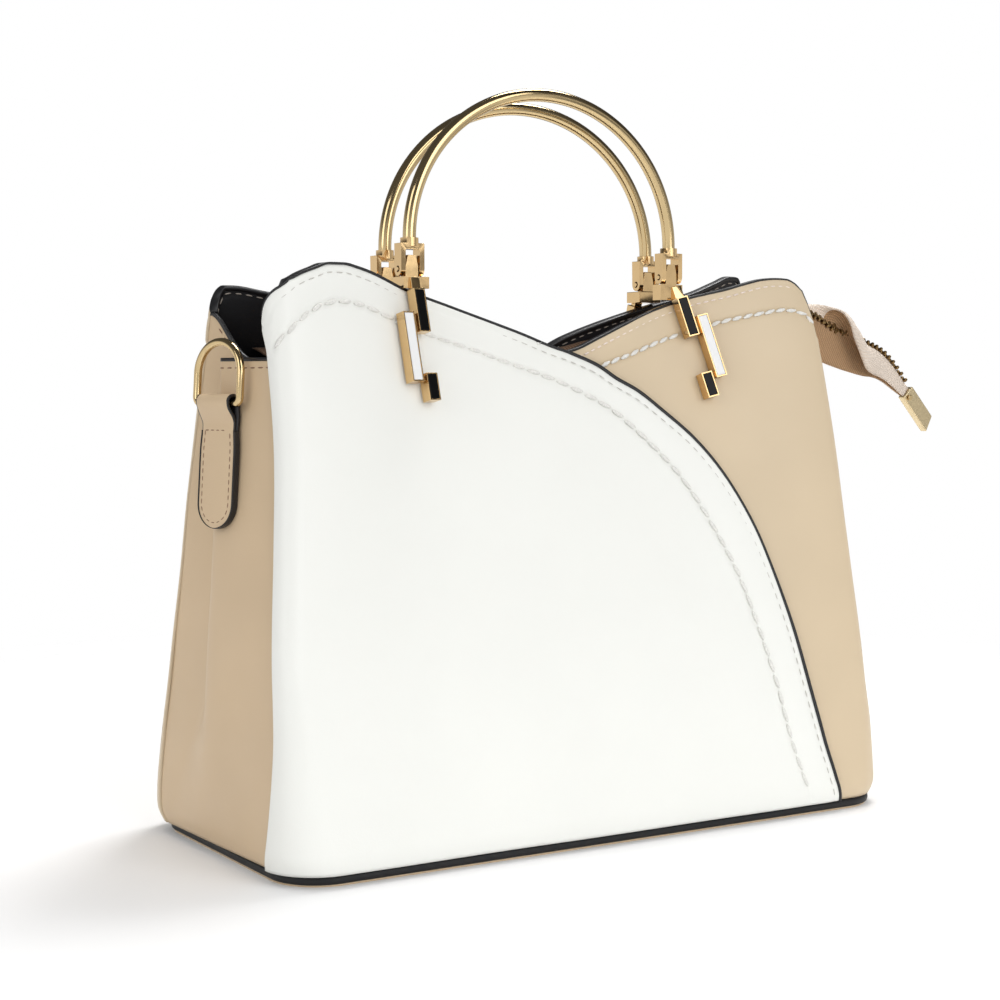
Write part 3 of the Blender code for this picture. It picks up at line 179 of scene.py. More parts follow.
# Lines of the two cords on the front, as (along, height) of the rolled-out panel
OVERLAY_CORD = (
    (-0.1325, 0.1941), (-0.1292, 0.1981), (-0.1256, 0.202), (-0.1185, 0.2072), (-0.1136, 0.2101),
    (-0.1087, 0.2121), (-0.1014, 0.2132), (-0.0941, 0.2125), (-0.0857, 0.2104), (-0.0775, 0.2067),
    (-0.0657, 0.2027), (-0.0541, 0.1988), (-0.0411, 0.1957), (-0.0251, 0.1904), (-0.006, 0.1846),
    (0.0101, 0.1785), (0.0254, 0.1709), (0.0399, 0.1584), (0.0526, 0.1453), (0.0618, 0.1313),
    (0.0704, 0.1143), (0.0768, 0.0997), (0.0832, 0.0753), (0.0879, 0.0548), (0.0909, 0.0312),
    (0.0954, 0.0144), (0.0975, 0.0067))
PANEL_CORD = (
    (0.006, 0.184), (0.0223, 0.1883), (0.0391, 0.1935), (0.0559, 0.1996), (0.0738, 0.2049),
    (0.0897, 0.2089), (0.1056, 0.212), (0.1138, 0.2134), (0.1205, 0.2133), (0.1256, 0.212), (0.129, 0.2094),
    (0.1322, 0.2062), (0.1324, 0.2026))

# Sizes of the visible details
CORD_LINE = 0.0125
EDGE_LINE = 0.0030
BAND_DROP = 0.0014
TOP_BAND_DROP = 0.0006
BAND_PROUD = 0.00018
FLOOR_WHITENING = 0.05
COVER = LAYER_GAP + LEATHER
SHELL = LEATHER + LAYER_GAP + FACING
FACING_END = 1.97
SEAM_GAP = 0.0002
FACING_STEP = 0.0004
TAPE_CLEARANCE = 0.0009
TAPE_THICKNESS = 0.0008
TAPE_WAVES = 0.0002
TAPE_BULGE = 0.0045
TAPE_BULGE_PLACE = 0.040
TAPE_BULGE_WIDTH = 0.014
TOOTH_PITCH = 0.0026
TOOTH_OFFSET = 0.0007
TOOTH_DROP = 0.00045
TEETH_INSET = 0.0105
TEETH_MARGIN = 0.0005
TEETH_SHIFT = 0.0008
TAIL_THICKNESS = 0.0009
TAIL_LIFT = 0.0015
TAIL_PAIRS = 36
STITCH_SINK = 0.35
STITCH_FLAT = 0.75
CORD_START = 0.001
CORD_DEPTHS = (0.0002, 0.0001)
GUSSET_SEAM_DROP = 0.0035
STITCH_DEPTH = 0.0001
CHART_STEP = 0.0004
CROWN = 0.0004
ROD_FOOT = 0.0027
LINING_INSETS = (0.0050, 0.0230)
LINING_STEP = 0.008
OVERLAY_STEPS = 260
FRONT = np.array((0.0, -1.0, 0.0))


# Reading of shapes

def mix(low, high, share):
    return low + (high - low) * share


def ease(share):
    share = np.clip(share, 0.0, 1.0)
    return share * share * (3.0 - 2.0 * share)


def read_one(table, at):
    """A table read between its entries on a smooth curve that doesn't overshoot."""
    last = len(table) - 1
    if at <= table[0][0]:
        return table[0][1]
    if at >= table[last][0]:
        return table[last][1]
    slopes = [(table[i + 1][1] - table[i][1]) / (table[i + 1][0] - table[i][0]) for i in range(last)]
    bends = [slopes[0]]
    for before, after in zip(slopes, slopes[1:]):
        bends.append(0.0 if before * after <= 0.0 else 2.0 * before * after / (before + after))
    bends.append(slopes[-1])
    i = 0
    while at > table[i + 1][0]:
        i += 1
    span = table[i + 1][0] - table[i][0]
    t = (at - table[i][0]) / span
    return ((1 + 2 * t) * (1 - t) ** 2 * table[i][1] + t * (1 - t) ** 2 * span * bends[i]
            + t * t * (3 - 2 * t) * table[i + 1][1] + t * t * (t - 1) * span * bends[i + 1])


def read_table(table, at):
    at = np.asarray(at, float)
    return np.array([read_one(table, float(value)) for value in at.ravel()]).reshape(at.shape)


def foot_inset(z):
    drop = np.maximum(0.0, 1.0 - z / FOOT_HEIGHT)
    return FOOT_INSET * drop * drop


def tapered(low, high, z):
    """Half of a size that shrinks from the base to the top, and at the foot."""
    return mix(low / 2.0, high / 2.0, z / BODY_HEIGHT) - foot_inset(z)


def half_length(z):
    return tapered(BASE_LENGTH, TOP_LENGTH, z)


def end_half_depth(z):
    return tapered(BASE_DEPTH, TOP_END_DEPTH, z)


def waist_half_depth(z):
    return tapered(BASE_DEPTH, TOP_WAIST_DEPTH, z)


def lean(z):
    return TOP_LEAN * z / BODY_HEIGHT


def corner_radius(z):
    fade = np.maximum(0.0, 1.0 - z / CORNER_FADE_HEIGHT)
    return mix(TOP_CORNER_RADIUS, BASE_CORNER_RADIUS, fade * fade)


SWELL_HEIGHTS = np.linspace(0.0, 1.1, 220)
SWELLS = {(hand, side): read_table(swell, SWELL_HEIGHTS)
          for hand, side, swell in ((-1, -1, FRONT_LEFT_SWELL), (-1, 1, BACK_LEFT_SWELL),
                                    (1, -1, RIGHT_SWELL), (1, 1, RIGHT_SWELL))}


def corner_swell(hand, z, side):
    """How far a corner stands outside the straight taper; hand is -1 for left and 1 for right."""
    return BASE_LENGTH * np.interp(z / BODY_HEIGHT, SWELL_HEIGHTS, SWELLS[(hand, side)])


def panel_half_depth(station, z):
    across = np.minimum(np.abs(station), 1.0)
    return mix(end_half_depth(z), waist_half_depth(z), 1.0 - 5.0 * across ** 4 + 4.0 * across ** 5)


def panel_points(station, z, offset, side):
    """Points of a panel: side is -1 for the front and 1 for the back, offset is outwards."""
    station, z, offset = np.broadcast_arrays(np.asarray(station, float), np.asarray(z, float),
                                             np.asarray(offset, float))
    radius = corner_radius(z)
    flat = half_length(z) - radius
    turn = np.radians(90.0 * np.clip(np.abs(station) - 1.0, 0.0, 1.0))
    inside = np.abs(station) <= 1.0
    corner_x = np.sign(station) * (flat + (radius + offset) * np.sin(turn))
    corner_y = end_half_depth(z) - radius + (radius + offset) * np.cos(turn)
    fade = ease((np.abs(station) - SWELL_START) / (1.0 - SWELL_START))
    swell = np.where(station > 0.0, corner_swell(1, z, side), -corner_swell(-1, z, side))
    x = lean(z) + fade * swell + np.where(inside, station * flat, corner_x)
    y = np.where(inside, panel_half_depth(station, z) + offset, corner_y)
    return np.stack([x, side * y, z], axis=-1)


def chart(station, z):
    """A panel rolled out flat: the way along it from its middle line."""
    radius = corner_radius(z)
    flat = half_length(z) - radius
    across = np.abs(station)
    round_corner = flat + (across - 1.0) * radius * math.pi / 2.0
    return lean(z) + np.sign(station) * np.where(across <= 1.0, across * flat, round_corner)


def unchart(along, z):
    radius = corner_radius(z)
    flat = half_length(z) - radius
    reach = np.abs(along - lean(z))
    round_corner = 1.0 + (reach - flat) / (radius * math.pi / 2.0)
    return np.sign(along - lean(z)) * np.where(reach <= flat, reach / flat, round_corner)


def panel_top(station, left, right):
    station = np.asarray(station, float)
    return BODY_HEIGHT * np.where(station < DIP, read_table(left, station), read_table(right, station))


def front_top(station):
    return panel_top(station, HIGH_LOBE, LOW_LOBE)


def back_top(station):
    return panel_top(station, BACK_LEFT, BACK_RIGHT)


def top_line(top, start=-2.0, stop=2.0, steps=400):
    """A panel's top edge in the chart, as (along, height) pairs."""
    stations = np.linspace(start, stop, steps)
    heights = top(stations)
    return np.stack([chart(stations, heights), heights], axis=1)


def overlay_curve():
    """The overlay's free edge in the chart, from the dip down to the base."""
    shares = np.linspace(1.0, 0.0, OVERLAY_STEPS)[1:]
    heights = mix(WALL_BOTTOM, float(front_top(DIP)), shares)
    return np.stack([chart(read_table(OVERLAY_EDGE, shares), heights), heights], axis=1)


def overlay_line():
    """The overlay's own edge in the chart: along the top to the dip, then down its curve."""
    return np.concatenate([top_line(front_top, -2.0, DIP, OVERLAY_STEPS), overlay_curve()])


def distance_to(line, points):
    """Shortest way from points of the chart to a line in it."""
    start, stop = line[:-1], line[1:]
    course = stop - start
    square = np.maximum((course ** 2).sum(1), 1e-18)
    nearest = np.full(len(points), 1e9)
    for low in range(0, len(points), 4000):
        part = points[low:low + 4000, None, :]
        t = np.clip(((part - start) * course).sum(2) / square, 0.0, 1.0)
        gap = part - (start + t[..., None] * course)
        nearest[low:low + 4000] = np.sqrt((gap ** 2).sum(2)).min(1)
    return nearest


def smooth_line(line, rounds):
    line = line.copy()
    for _ in range(rounds):
        line[1:-1] = (line[:-2] + 2.0 * line[1:-1] + line[2:]) / 4.0
    return line


def way_along(line):
    return np.concatenate([[0.0], np.cumsum(np.linalg.norm(np.diff(line, axis=0), axis=1))])


def read_line(line, steps, at):
    """The line at a way along it, or at several."""
    return np.stack([np.interp(at, steps, line[:, k]) for k in range(line.shape[1])], axis=-1)


def resample(line, count):
    steps = way_along(line)
    return read_line(line, steps, np.linspace(0.0, steps[-1], count))


def directions(points, closed=False):
    """Unit vectors along a line of points."""
    if closed:
        course = np.roll(points, -1, axis=0) - np.roll(points, 1, axis=0)
    else:
        course = np.gradient(points, axis=0)
    return course / np.linalg.norm(course, axis=1)[:, None]


def rightwards(course):
    return np.stack([course[:, 1], -course[:, 0]], axis=1)


def inset_line(line, distance):
    """The line moved to the right of its own course, without the loops that leaves."""
    fine = resample(line, 500)
    moved = fine + distance * rightwards(directions(fine))
    clear = distance_to(line, moved) > distance * 0.985
    return smooth_line(moved[clear], 6)


def overlay_cord_line():
    return smooth_line(resample(np.array(OVERLAY_CORD), 300), 30)


def panel_cord_line():
    return smooth_line(resample(np.array(PANEL_CORD), 240), 20)


# Building of pieces

def link(name, mesh, body, materials, nodes=()):
    thing = bpy.data.objects.new(name, mesh)
    for look in materials:
        mesh.materials.append(look)
    bpy.context.scene.collection.objects.link(thing)
    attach(thing, body)
    if nodes:
        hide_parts(*nodes)
    return thing


def new_mesh(name, points, faces, uvs=None, sharp=None):
    mesh = bpy.data.meshes.new(name)
    mesh.from_pydata([tuple(p) for p in points], [], [tuple(f) for f in faces])
    if uvs is not None:
        layer = mesh.uv_layers.new(name="weave")
        loops = np.zeros(len(mesh.loops), int)
        mesh.loops.foreach_get("vertex_index", loops)
        layer.data.foreach_set("uv", np.asarray(uvs, np.float32)[loops].ravel())
    mesh.shade_smooth()
    if sharp:
        mesh.set_sharp_from_angle(angle=math.radians(sharp))
    return mesh


def grid_faces(rows, columns, closed=False):
    faces = []
    for row in range(rows - 1):
        for column in range(columns if closed else columns - 1):
            after = (column + 1) % columns
            faces.append((row * columns + column, row * columns + after,
                          (row + 1) * columns + after, (row + 1) * columns + column))
    return faces


def thicken(thing, thickness, rim=0, inner=0, offset=-1.0):
    shell = thing.modifiers.new("thickness", "SOLIDIFY")
    shell.thickness = thickness
    shell.offset = offset
    shell.material_offset_rim = rim
    shell.material_offset = inner


def leaf(name, points, outward, looks, nodes, thickness, rim=0, inner=0, offset=-1.0, uvs=None):
    """A thick sheet through a grid of points, rows by columns, with its faces turned towards outward."""
    rows, columns = points.shape[:2]
    flat = points.reshape(-1, 3)
    faces = grid_faces(rows, columns)
    middle = faces[(rows // 2) * (columns - 1) + columns // 2]
    a, b, c = (flat[middle[k]] for k in (0, 1, 2))
    if np.dot(np.cross(b - a, c - b), np.asarray(outward, float)) < 0.0:
        faces = [tuple(reversed(face)) for face in faces]
    thing = link(name, new_mesh(name, flat, faces, uvs), "bag", looks, nodes)
    thicken(thing, thickness, rim, inner, offset)
    return thing


def on_panel(line, offset, side):
    """Points and outward normals of a panel along a line of the chart."""
    along, z = line[:, 0], line[:, 1]
    step = CHART_STEP
    right = panel_points(unchart(along + step, z), z, offset, side)
    left = panel_points(unchart(along - step, z), z, offset, side)
    above = panel_points(unchart(along, z + step), z + step, offset, side)
    below = panel_points(unchart(along, z - step), z - step, offset, side)
    normals = np.cross(right - left, above - below) * (-side)
    normals /= np.linalg.norm(normals, axis=1)[:, None]
    return panel_points(unchart(along, z), z, offset, side), normals


def swept_mesh(name, rings, closed=False):
    """A tube through rings of points, with its ends joined or capped."""
    rows, count = rings.shape[:2]
    faces = grid_faces(rows, count, closed=True)
    last = (rows - 1) * count
    if closed:
        faces += [(last + k, last + (k + 1) % count, (k + 1) % count, k) for k in range(count)]
    else:
        faces += [tuple(reversed(range(count))), tuple(range(last, last + count))]
    mesh = new_mesh(name, rings.reshape(-1, 3), faces)
    fix = bmesh.new()
    fix.from_mesh(mesh)
    bmesh.ops.recalc_face_normals(fix, faces=fix.faces)
    fix.to_mesh(mesh)
    fix.free()
    return mesh


def band(name, points, normals, section):
    """A painted edge: a closed section of (up, out) pairs swept along an edge. Up leads off the sheet."""
    course = directions(points)
    up = np.cross(course, normals)
    up /= np.linalg.norm(up, axis=1)[:, None]
    out = np.cross(up, course)
    section = np.asarray(section, float)[None]
    rings = points[:, None, :] + up[:, None, :] * section[..., :1] + out[:, None, :] * section[..., 1:]
    return link(name, swept_mesh(name, rings), "bag", [EDGE_PAINT])


def edge_section(outer, inner, drop=BAND_DROP, outer_drop=None):
    """A section that wraps an edge from its outer to its inner face, rounded over the top."""
    half = (outer - inner) / 2.0 + BAND_PROUD
    middle = (outer + inner) / 2.0
    section = [(-(drop if outer_drop is None else outer_drop), middle + half)]
    for step in range(9):
        angle = math.pi * step / 8
        section.append((CROWN * math.sin(angle) ** 0.7 - (CROWN if step in (0, 8) else 0.0),
                        middle + half * math.copysign(abs(math.cos(angle)) ** 0.55, math.cos(angle))))
    section.append((-drop, middle - half))
    return section


def tube_mesh(name, path, radius, sides, closed=False):
    """A round wire along points."""
    path = np.asarray(path, float)
    course = directions(path, closed)
    normal = np.linalg.svd(path - path.mean(0))[2][2]
    first = np.cross(course, normal)
    first /= np.linalg.norm(first, axis=1)[:, None]
    second = np.cross(course, first)
    angles = 2.0 * math.pi * np.arange(sides)[:, None] / sides
    spokes = first[:, None, :] * np.cos(angles) + second[:, None, :] * np.sin(angles)
    return swept_mesh(name, path[:, None, :] + radius * spokes, closed)


def merge(shapes):
    points, faces, base = [], [], 0
    for shape_points, shape_faces in shapes:
        points.append(shape_points)
        faces += [tuple(base + k for k in face) for face in shape_faces]
        base += len(shape_points)
    return np.concatenate(points), faces


def puff(rings, sides, twist, lobes):
    """A stitch of unit length and unit radius along X."""
    points = [(-0.5, 0.0, 0.0)]
    for ring in range(1, rings):
        x = -0.5 + ring / rings
        swell = (1.0 - abs(2.0 * x) ** 2.6) ** 0.5
        for side in range(sides):
            angle = 2.0 * math.pi * side / sides
            radius = swell * (1.0 + lobes * math.cos(2.0 * angle + twist * x))
            points.append((x, radius * math.cos(angle), radius * math.sin(angle)))
    points.append((0.5, 0.0, 0.0))
    last = len(points) - 1
    low = last - sides
    faces = [(0, 1 + (k + 1) % sides, 1 + k) for k in range(sides)]
    faces += [tuple(1 + k for k in face) for face in grid_faces(rings - 1, sides, closed=True)]
    faces += [(low + k, low + (k + 1) % sides, last) for k in range(sides)]
    return np.array(points), faces


def stitch_row(name, points, normals, sizes, look, slant=0.0, twist=0.0, lobes=0.0, gap=(0.0, 0.0)):
    """Stitches along a line, slightly slanted and half sunk in; sizes are their length, pitch and radius.
    A twisted row is a cord, of finer meshes, that starts a little later and leaves out the gap in x."""
    length, pitch, radius = sizes
    start = CORD_START if twist else 0.0
    steps = way_along(points)
    stitch, faces = puff(7, 8, twist, lobes) if twist else puff(5, 6, twist, lobes)
    shapes = []
    for index in range(int((steps[-1] - start - length) / pitch) + 1):
        at = start + length / 2.0 + index * pitch
        middle = read_line(points, steps, at)
        if gap[0] < middle[0] < gap[1]:
            continue
        normal = read_line(normals, steps, at)
        normal /= np.linalg.norm(normal)
        course = read_line(points, steps, at + length / 2.0) - read_line(points, steps, at - length / 2.0)
        course /= np.linalg.norm(course)
        course -= normal * course.dot(normal)
        course /= np.linalg.norm(course)
        tilt = math.radians(slant * (1.0 + math.sin(index * 2.399) * 0.25))
        turned = course * math.cos(tilt) + np.cross(normal, course) * math.sin(tilt)
        size = 1.0 + 0.06 * math.sin(index * 1.7 + 0.5)
        shapes.append((middle + normal * radius * STITCH_FLAT * (1.0 - 2.0 * STITCH_SINK)
                       + stitch[:, :1] * length * size * turned
                       + stitch[:, 1:2] * radius * np.cross(normal, turned)
                       + stitch[:, 2:] * radius * STITCH_FLAT * normal, faces))
    return link(name, new_mesh(name, *merge(shapes)), "bag", [look])


def clean_copy(node_name, bevel, look, body="bag", segments=2):
    """A CAD node's shape in a mesh of its own, with flat faces joined and its edges rounded."""
    copy = bmesh.new()
    copy.from_mesh(frame["nodes"][node_name].data)
    bmesh.ops.remove_doubles(copy, verts=copy.verts, dist=0.00001)
    bmesh.ops.dissolve_limit(copy, angle_limit=math.radians(2.0), verts=copy.verts, edges=copy.edges)
    mesh = bpy.data.meshes.new(node_name + "_shape")
    copy.to_mesh(mesh)
    copy.free()
    mesh.shade_smooth()
    mesh.set_sharp_from_angle(angle=math.radians(32.0))
    thing = link(node_name + "_shape", mesh, body, [look], [node_name])
    rounding = thing.modifiers.new("rounding", "BEVEL")
    rounding.width = bevel
    rounding.segments = segments
    rounding.limit_method = "ANGLE"
    rounding.angle_limit = math.radians(38.0)
    rounding.use_clamp_overlap = True
    rounding.harden_normals = True


# Materials

def shader_of(name):
    look = bpy.data.materials.new(name)
    look.use_nodes = True
    return look, look.node_tree, look.node_tree.nodes["Principled BSDF"]


def node(tree, kind, **values):
    made = tree.nodes.new(kind)
    for key, value in values.items():
        if key in made.inputs:
            made.inputs[key].default_value = value
        else:
            setattr(made, key, value)
    return made


def coordinates(tree, which="Object"):
    return node(tree, "ShaderNodeTexCoord").outputs[which]


def noise(tree, scale, detail=3.0, where=None):
    made = node(tree, "ShaderNodeTexNoise", Scale=scale, Detail=detail, Roughness=0.55)
    tree.links.new(where or coordinates(tree), made.inputs["Vector"])
    return made.outputs["Fac"]


def bands(tree, where, way, scale, distortion, **values):
    made = node(tree, "ShaderNodeTexWave", wave_type="BANDS", bands_direction=way, Scale=scale,
                Distortion=distortion, **values)
    tree.links.new(where, made.inputs["Vector"])
    return made.outputs["Fac"]


def ramp(tree, fac, stops):
    """A colour ramp; a stop's colour is a single grey value or three values."""
    made = node(tree, "ShaderNodeValToRGB")
    tree.links.new(fac, made.inputs["Fac"])
    bar = made.color_ramp
    while len(bar.elements) < len(stops):
        bar.elements.new(0.5)
    for element, (place, colour) in zip(bar.elements, stops):
        element.position = place
        element.color = (*colour, 1.0) if isinstance(colour, tuple) else (colour, colour, colour, 1.0)
    return made.outputs["Color"]


def times(tree, first, second):
    made = node(tree, "ShaderNodeMath", operation="MULTIPLY")
    tree.links.new(first, made.inputs[0])
    tree.links.new(second, made.inputs[1])
    return made.outputs[0]


def bump(tree, height, strength, distance, normal=None):
    made = node(tree, "ShaderNodeBump", Strength=strength, Distance=distance)
    tree.links.new(height, made.inputs["Height"])
    if normal is not None:
        tree.links.new(normal, made.inputs["Normal"])
    return made.outputs["Normal"]


def finish_look(look, tree, shader, links, **values):
    """Sets the values of a shader's sockets, makes its links and gives the material back."""
    for key, value in values.items():
        shader.inputs[key.replace("_", " ")].default_value = value
    for key, output in links.items():
        tree.links.new(output, shader.inputs[key])
    return look


def leather(name, colour, roughness, grain, shade):
    """Fine grained leather: pebbles, broad tone changes and a soft sheen."""
    look, tree, shader = shader_of(name)
    pebbles = node(tree, "ShaderNodeTexVoronoi", feature="SMOOTH_F1", Scale=1500.0, Smoothness=0.6)
    tree.links.new(coordinates(tree), pebbles.inputs["Vector"])
    dark = tuple(c * (1.0 - shade) for c in colour)
    light = tuple(min(c * (1.0 + shade * 0.5), 1.0) for c in colour)
    shader.inputs["Specular IOR Level"].default_value = 0.38
    grains = bump(tree, pebbles.outputs["Distance"], grain, 0.00012)
    return finish_look(look, tree, shader, {
        "Base Color": ramp(tree, noise(tree, 14.0, 2.0), ((0.3, dark), (0.7, light))),
        "Roughness": ramp(tree, noise(tree, 60.0), ((0.3, roughness - 0.05), (0.7, roughness + 0.06))),
        "Normal": bump(tree, noise(tree, 900.0, 4.0), grain * 0.6, 0.00008, grains)})


def painted(name, colour):
    """Edge paint: nearly even, with faint ripples."""
    look, tree, shader = shader_of(name)
    ripples = bump(tree, noise(tree, 260.0), 0.25, 0.0002)
    return finish_look(look, tree, shader, {"Normal": ripples}, Base_Color=(*colour, 1.0), Roughness=0.38)


def thread(name, colour):
    look, tree, shader = shader_of(name)
    strands = bands(tree, coordinates(tree), "DIAGONAL", 900.0, 1.5)
    dark = tuple(c * 0.82 for c in colour)
    return finish_look(look, tree, shader, {
        "Base Color": ramp(tree, noise(tree, 1200.0), ((0.3, dark), (0.7, colour))),
        "Normal": bump(tree, strands, 0.5, 0.0001)}, Roughness=0.75, Sheen_Weight=0.15)


def twill(name, colour, dark):
    """Woven tape: diagonal ribs crossed by fine threads, on the tape's own length and width."""
    look, tree, shader = shader_of(name)
    place = coordinates(tree, "UV")
    both = times(tree, bands(tree, place, "DIAGONAL", 420.0, 0.6, Detail=1.0),
                 bands(tree, place, "X", 620.0, 0.8, Detail=1.0))
    return finish_look(look, tree, shader, {
        "Base Color": ramp(tree, both, ((0.0, dark), (0.6, colour))),
        "Normal": bump(tree, both, 0.8, 0.0003)}, Roughness=0.8, Sheen_Weight=0.06)


def plated(name, colour, roughness, brushed=0.0):
    """Gold plating with slight waviness, or brushed in fine lines."""
    look, tree, shader = shader_of(name)
    normal = bump(tree, noise(tree, 160.0, 1.0), 0.12, 0.0002)
    if brushed:
        stretch = node(tree, "ShaderNodeMapping", Scale=(1.0, 1.0, 60.0))
        tree.links.new(coordinates(tree), stretch.inputs["Vector"])
        normal = bump(tree, noise(tree, 260.0, 4.0, stretch.outputs["Vector"]), brushed, 0.0001, normal)
    dark = tuple(c * 0.94 for c in colour)
    return finish_look(look, tree, shader, {
        "Base Color": ramp(tree, noise(tree, 90.0, 2.0), ((0.3, dark), (0.7, colour))),
        "Roughness": ramp(tree, noise(tree, 300.0), ((0.3, roughness * 0.8), (0.7, roughness * 1.25))),
        "Normal": normal}, Metallic=1.0)


def enamel(name, colour):
    look, tree, shader = shader_of(name)
    waves = bump(tree, noise(tree, 220.0, 1.0), 0.05, 0.0003)
    return finish_look(look, tree, shader, {"Normal": waves}, Base_Color=(*colour, 1.0), Roughness=0.10,
                       Specular_IOR_Level=0.12)


WHITE_LEATHER = leather("white_leather", (0.885, 0.89, 0.85), 0.40, 0.12, 0.015)
BEIGE_LEATHER = leather("beige_leather", (0.675, 0.545, 0.375), 0.40, 0.16, 0.05)
GUSSET_LEATHER = leather("gusset_leather", (0.66, 0.50, 0.325), 0.44, 0.16, 0.06)
BLACK_LEATHER = leather("black_leather", (0.010, 0.010, 0.012), 0.46, 0.55, 0.2)
BOARD_BLACK = leather("board_black", (0.012, 0.012, 0.013), 0.5, 0.4, 0.2)
EDGE_PAINT = painted("edge_paint", (0.010, 0.010, 0.012))
CORD_WHITE = thread("cord_white", (0.87, 0.86, 0.82))
THREAD_GREY = thread("thread_grey", (0.66, 0.64, 0.60))
THREAD_PINK = thread("thread_pink", (0.95, 0.82, 0.74))
THREAD_BROWN = thread("thread_brown", (0.30, 0.17, 0.11))
THREAD_FACING = thread("thread_facing", (0.42, 0.37, 0.32))
LINING_CLOTH = twill("lining_cloth", (0.055, 0.042, 0.035), (0.02, 0.016, 0.013))
TAPE_LIGHT = twill("tape_light", (0.93, 0.84, 0.74), (0.76, 0.63, 0.52))
# The tail's inner face: the light tape painted orange brown, as painted shade
TAIL_INSIDE_SHADE = twill("tail_inside_painted_shade", (0.62, 0.38, 0.20), (0.34, 0.20, 0.10))
# The zip tapes in the mouth: the light tape painted dark brown, as painted shade
TAPE_PAINTED_SHADE = twill("tape_painted_shade", (0.26, 0.15, 0.083), (0.11, 0.06, 0.033))
TEETH_BRASS = plated("teeth_brass", (0.26, 0.17, 0.075), 0.35)
WARM_GOLD = plated("warm_gold", (0.76, 0.53, 0.27), 0.14)
GOLD = plated("pale_gold", (0.66, 0.50, 0.27), 0.12)
BRUSHED_GOLD = plated("brushed_gold", (0.76, 0.62, 0.38), 0.3, 0.35)
BLACK_ENAMEL = enamel("black_enamel", (0.006, 0.006, 0.006))
WHITE_ENAMEL = enamel("white_enamel", (0.86, 0.86, 0.86))


# Panels

def row_shares(height_rows, top_rows, top_share):
    """Shares of a wall's height, closer together at its foot and near its top."""
    foot_share = 0.05
    foot = np.linspace(0.0, foot_share, 9)[:-1]
    low = np.linspace(foot_share, 1.0 - top_share, height_rows)[:-1]
    return np.concatenate([foot, low, np.linspace(1.0 - top_share, 1.0, top_rows)])


def softness(along, z):
    """Slow, shallow waves of a sewn panel, in metres."""
    return (0.00035 * np.sin(along * 31.0 + 0.7) * np.sin(z * 27.0 + 0.4)
            + 0.00020 * np.sin(along * 67.0 + z * 44.0 + 1.9))


def groove(distance, line, depth, width):
    return -depth * np.exp(-((distance - line) / width) ** 2)


def seam_relief(edge, cord):
    """Leather pulled down along the cord and along the edge stitches, and full between them."""
    fullness = 0.00045 * np.sin(math.pi * edge / (edge + cord + 0.0001)) ** 0.8
    return fullness + groove(cord, 0.0, 0.00045, 0.0011) + groove(edge, EDGE_LINE, 0.00018, 0.0007)


def grid_distance(along, z, line):
    spots = np.stack([along.ravel(), z.ravel()], axis=1)
    return distance_to(line, spots).reshape(z.shape)


def make_panel(where, side, top):
    corner = np.linspace(-2.0, -1.0, 16)[:-1]
    stations = np.concatenate([corner, np.linspace(-1.0, 1.0, 150), -corner[::-1]])
    shares = row_shares(46, 48, 0.115)
    z = mix(WALL_BOTTOM, top(stations)[None, :], shares[:, None])
    along = chart(stations, z)
    edge = grid_distance(along, z, top_line(top))
    cord = grid_distance(along, z, panel_cord_line()) if side < 0 else np.abs(edge - CORD_LINE)
    points = panel_points(stations, z, softness(along, z) + seam_relief(edge, cord), side)
    leaf(where + "_panel_skin", points, (0.0, side, 0.0), [BEIGE_LEATHER, BLACK_LEATHER],
         [where + "_panel"], LEATHER, inner=1)


def make_overlay():
    columns = np.concatenate([np.linspace(0.0, 0.14, 18)[:-1], np.linspace(0.14, 0.88, 90)[:-1],
                              np.linspace(0.88, 1.0, 44)])
    shares = row_shares(52, 48, 0.12)
    edge_top = front_top(np.minimum(mix(-2.0, DIP, columns), DIP - 1e-9))
    station = mix(-2.0, read_table(OVERLAY_EDGE, shares)[:, None], columns[None, :])
    z = mix(WALL_BOTTOM, edge_top[None, :], shares[:, None])
    along = chart(station, z)
    edge = grid_distance(along, z, overlay_line())
    cord = grid_distance(along, z, overlay_cord_line())
    points = panel_points(station, z, COVER + softness(along, z) + seam_relief(edge, cord), -1)
    leaf("front_overlay_skin", points, FRONT, [WHITE_LEATHER, EDGE_PAINT],
         ["front_overlay"], LEATHER, rim=1)


def make_facing(where, side, top):
    corner = np.linspace(-FACING_END, -1.0, 14)[:-1]
    stations = np.concatenate([corner, np.linspace(-1.0, 1.0, 120), -corner[::-1]])
    z = mix(FACING_BOTTOM, top(stations)[None, :] - FACING_STEP, np.linspace(0.0, 1.0, 40)[:, None])
    along = chart(stations, z)
    edge = grid_distance(along, z, top_line(top))
    offset = 0.5 * softness(along, z) - COVER - 0.6 * groove(edge, EDGE_LINE, 0.0003, 0.0008)
    leaf(where + "_facing_skin", panel_points(stations, z, offset, side), (0.0, side, 0.0), [BLACK_LEATHER],
         [where + "_facing"], FACING)


def make_edges():
    for name, top, start, stop, steps, side, outer in (
            ("front_left_edge", front_top, -FACING_END, DIP, 200, -1, COVER),
            ("front_right_edge", front_top, DIP - 0.02, FACING_END, 180, -1, 0.0),
            ("back_edge", back_top, -FACING_END, FACING_END, 360, 1, 0.0)):
        points, normals = on_panel(resample(top_line(top, start, stop), steps), 0.0, side)
        band(name, points, normals, edge_section(outer, -SHELL, outer_drop=TOP_BAND_DROP))
    curve = overlay_line()[OVERLAY_STEPS - 1:]
    points, normals = on_panel(resample(curve, 220), 0.0, -1)
    band("overlay_edge", points, normals, edge_section(COVER, LAYER_GAP, 0.0009))


def beyond_overlay(line):
    """The part of a line on the front panel that the overlay leaves bare."""
    edge = overlay_line()[OVERLAY_STEPS - 1:][::-1]
    return line[line[:, 0] > np.interp(line[:, 1], edge[:, 1], edge[:, 0]) + 0.001]


